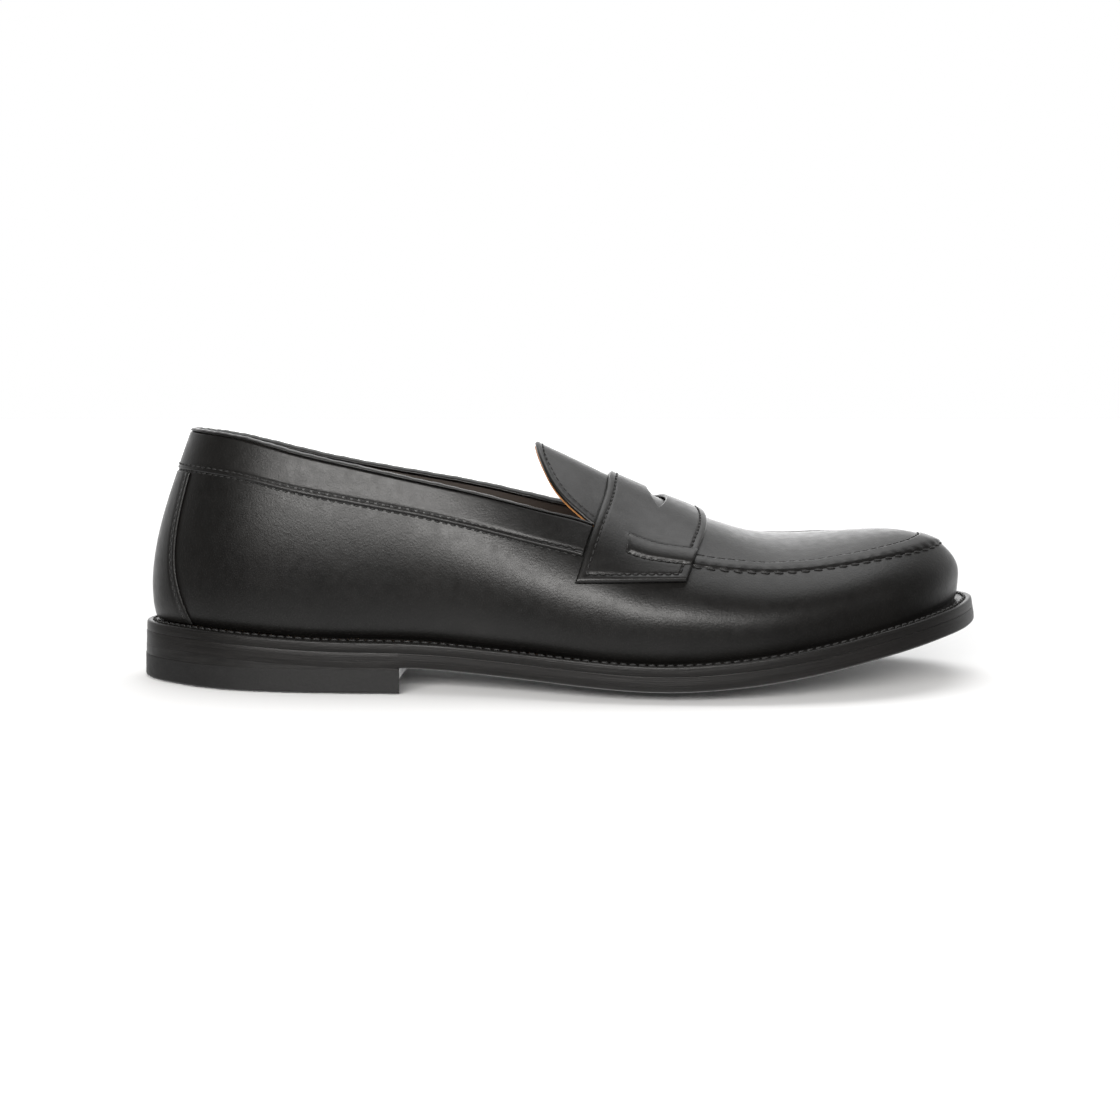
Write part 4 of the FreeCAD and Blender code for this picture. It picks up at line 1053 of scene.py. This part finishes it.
def binding():
    """Rolled edge over leather, lining and band, a little uneven as a folded edge is."""
    q = np.linspace(TOP_ENDS[0], TOP_ENDS[1], 620)
    half = (LEATHER + 0.1 + LINING + BAND) / 2 + 0.25
    out = outward(wall, q, np.full(q.shape, 0.98))
    up = unit(wall(q, 1.0) - wall(q, 0.97))
    wave = 0.06 * np.sin(q * 9.1) + 0.05 * np.sin(q * 23.7 + 1.3)
    middle = wall(q, 1.0) + out * (BAND - half + 0.2) + up * 0.1
    sides = 28
    turn = np.linspace(0, 2 * np.pi, sides, endpoint=False)
    rise = np.where(np.sin(turn) > 0, BINDING + 0.25, 0.35)
    taper = np.ones(len(q))
    taper[[0, -1]] = 0.05
    side = (half * np.cos(turn))[None] * taper[:, None]
    tall = (np.sin(turn) * rise)[None] * taper[:, None] + wave[:, None] * (np.sin(turn) > 0)[None]
    grid = middle[:, None] + out[:, None] * side[..., None] + up[:, None] * tall[..., None]
    shape = Shape()
    start = shape.grid(grid, close_n=True)
    shape.cap(start + np.arange(sides))
    shape.cap((start + (len(q) - 1) * sides + np.arange(sides))[::-1])
    return shape.piece("topline_fold", FOLDED, "shoe", "upper_black", ["topline_binding"])


stay_half = Spline([0.0, 0.3, 0.6, 1.0], [(2.3,), (1.75,), (1.55,), (1.5,)])
STAY_LOW = 0.012
stay_top = float(band_low(np.array(0.0))) - 0.01


def stay_place(s, t, height):
    v = STAY_LOW + (stay_top - STAY_LOW) * s
    return wall_off(stay_half(v)[..., 0] * (2 * t - 1), v, height)


def back_stay():
    def detail(s, t, across):
        edge = np.minimum(t, across - t)
        return 0.16 * np.exp(-((edge - 0.8) / 0.6) ** 2) - ROW_DEEP * groove(edge - STAY_ROW, 0.45)

    def across(s):
        v = stay_top * s
        left, right = wall(-stay_half(v)[:, 0], v), wall(stay_half(v)[:, 0], v)
        return np.linalg.norm(right - left, axis=1) * 1.06
    shape = pillow(stay_place, 62.0, across, 0.05, STAY, 0.6, 90, 54, detail)
    return shape.piece("back_stay_leather", BLACK, "shoe", "upper_black", ["back_stay"])


def stay_seam():
    shape = Shape()
    v = np.linspace(0.03, stay_top - 0.012, 500)
    for side in (-1, 1):
        q = side * (stay_half(v)[:, 0] - 0.17)
        normal = outward(wall, q, v)
        stitches(shape, wall_off(q, v, np.full(v.shape, STAY - 0.2)), normal,
                 pitch=2.8, length=2.2, width=0.6, height=0.16)
    return seam_piece(shape, "stay_seam", "stay_stitching")


collar_band()
collar_seam()
binding()
back_stay()
stay_seam()


# ------------------------------ floor, light, camera
def stage():
    floor = bpy.data.meshes.new("floor")
    far, drop = 9, -0.0003
    corners = [(-far, -far, drop), (far, -far, drop), (far, far, drop), (-far, far, drop)]
    floor.from_pydata(corners, [], [(0, 1, 2, 3)])
    m = Material("floor_white", roughness=0.85, specular=0.10)
    away = m.node("VectorMath", Vector=m.place)
    away.operation = "LENGTH"
    m.shader.inputs["Emission Color"].default_value = (1, 1, 1, 1)
    glow = set_range(m.node("MapRange", Value=away.outputs["Value"]), 0.35, 1.6, 0.0, 0.9)
    m.link(glow, "Emission Strength")
    floor.materials.append(m.done(m.blend(m.noise(2.0), (0.86, 0.86, 0.86), (0.88, 0.88, 0.88))))
    obj = add_object("floor", floor)
    obj.visible_glossy = False    # reflections take the world's lower half, a dimmer studio floor

    def panel(name, place, target, width, height, power, colour=(1, 1, 1)):
        light = bpy.data.lights.new(name, "AREA")
        light.shape, light.size, light.size_y = "RECTANGLE", width, height
        light.energy, light.color = power, colour
        lamp = add_object(name, light)
        lamp.location = place
        lamp.rotation_euler = (Vector(target) - Vector(place)).to_track_quat("-Z", "Y").to_euler()

    panel("key", (-0.20, -1.05, 0.42), (-0.02, 0, 0.04), 1.1, 0.28, 19, (1.0, 0.985, 0.965))
    panel("top", (0.1, 0.35, 1.5), (0, 0, 0.03), 1.6, 1.2, 16)
    panel("toe", (1.2, -0.7, 0.6), (0.08, 0, 0.03), 0.5, 0.7, 0.5)

    world = bpy.data.worlds.new("studio")
    world.use_nodes = True
    tree = world.node_tree
    link = tree.links.new
    split = add_node(tree, "SeparateXYZ", Vector=add_node(tree, "TexCoord").outputs["Generated"])
    strength = None
    for axis, *limits in (("Y", -0.12, 0.8, 0.04, 1.1), ("Y", 0.8, 1.0, 0.0, 2.3),
                          ("Z", -0.25, -0.80, 0.0, 1.3)):
        ramp = add_node(tree, "MapRange", Value=split.outputs[axis])
        ramp.interpolation_type = "SMOOTHSTEP"
        level = set_range(ramp, *limits)
        if strength is None:
            strength = level
            continue
        both = add_node(tree, "Math")
        both.operation = "ADD"
        link(strength, both.inputs[0])
        link(level, both.inputs[1])
        strength = both.outputs["Value"]
    # Reflections see the ramps; soft light and the plain background have one strength each
    ray = add_node(tree, "LightPath")
    for kind, value in (("Is Diffuse Ray", 0.38), ("Is Camera Ray", 1.0)):
        mix = add_node(tree, "Mix", Factor=ray.outputs[kind], A=strength, B=value)
        strength = mix.outputs["Result"]
    tree.nodes["Background"].inputs["Color"].default_value = (1, 1, 1, 1)
    link(strength, tree.nodes["Background"].inputs["Strength"])
    bpy.context.scene.world = world

    lens = bpy.data.cameras.new("camera")
    lens.lens, lens.sensor_width, lens.shift_y = 46.3, 36.0, -0.138
    camera = add_object("camera", lens)
    camera.location = (0.0, -0.520, 0.097)
    camera.rotation_euler = (math.radians(90), 0, 0)
    bpy.context.scene.camera = camera
    bpy.context.scene.view_settings.view_transform = "Standard"


stage()
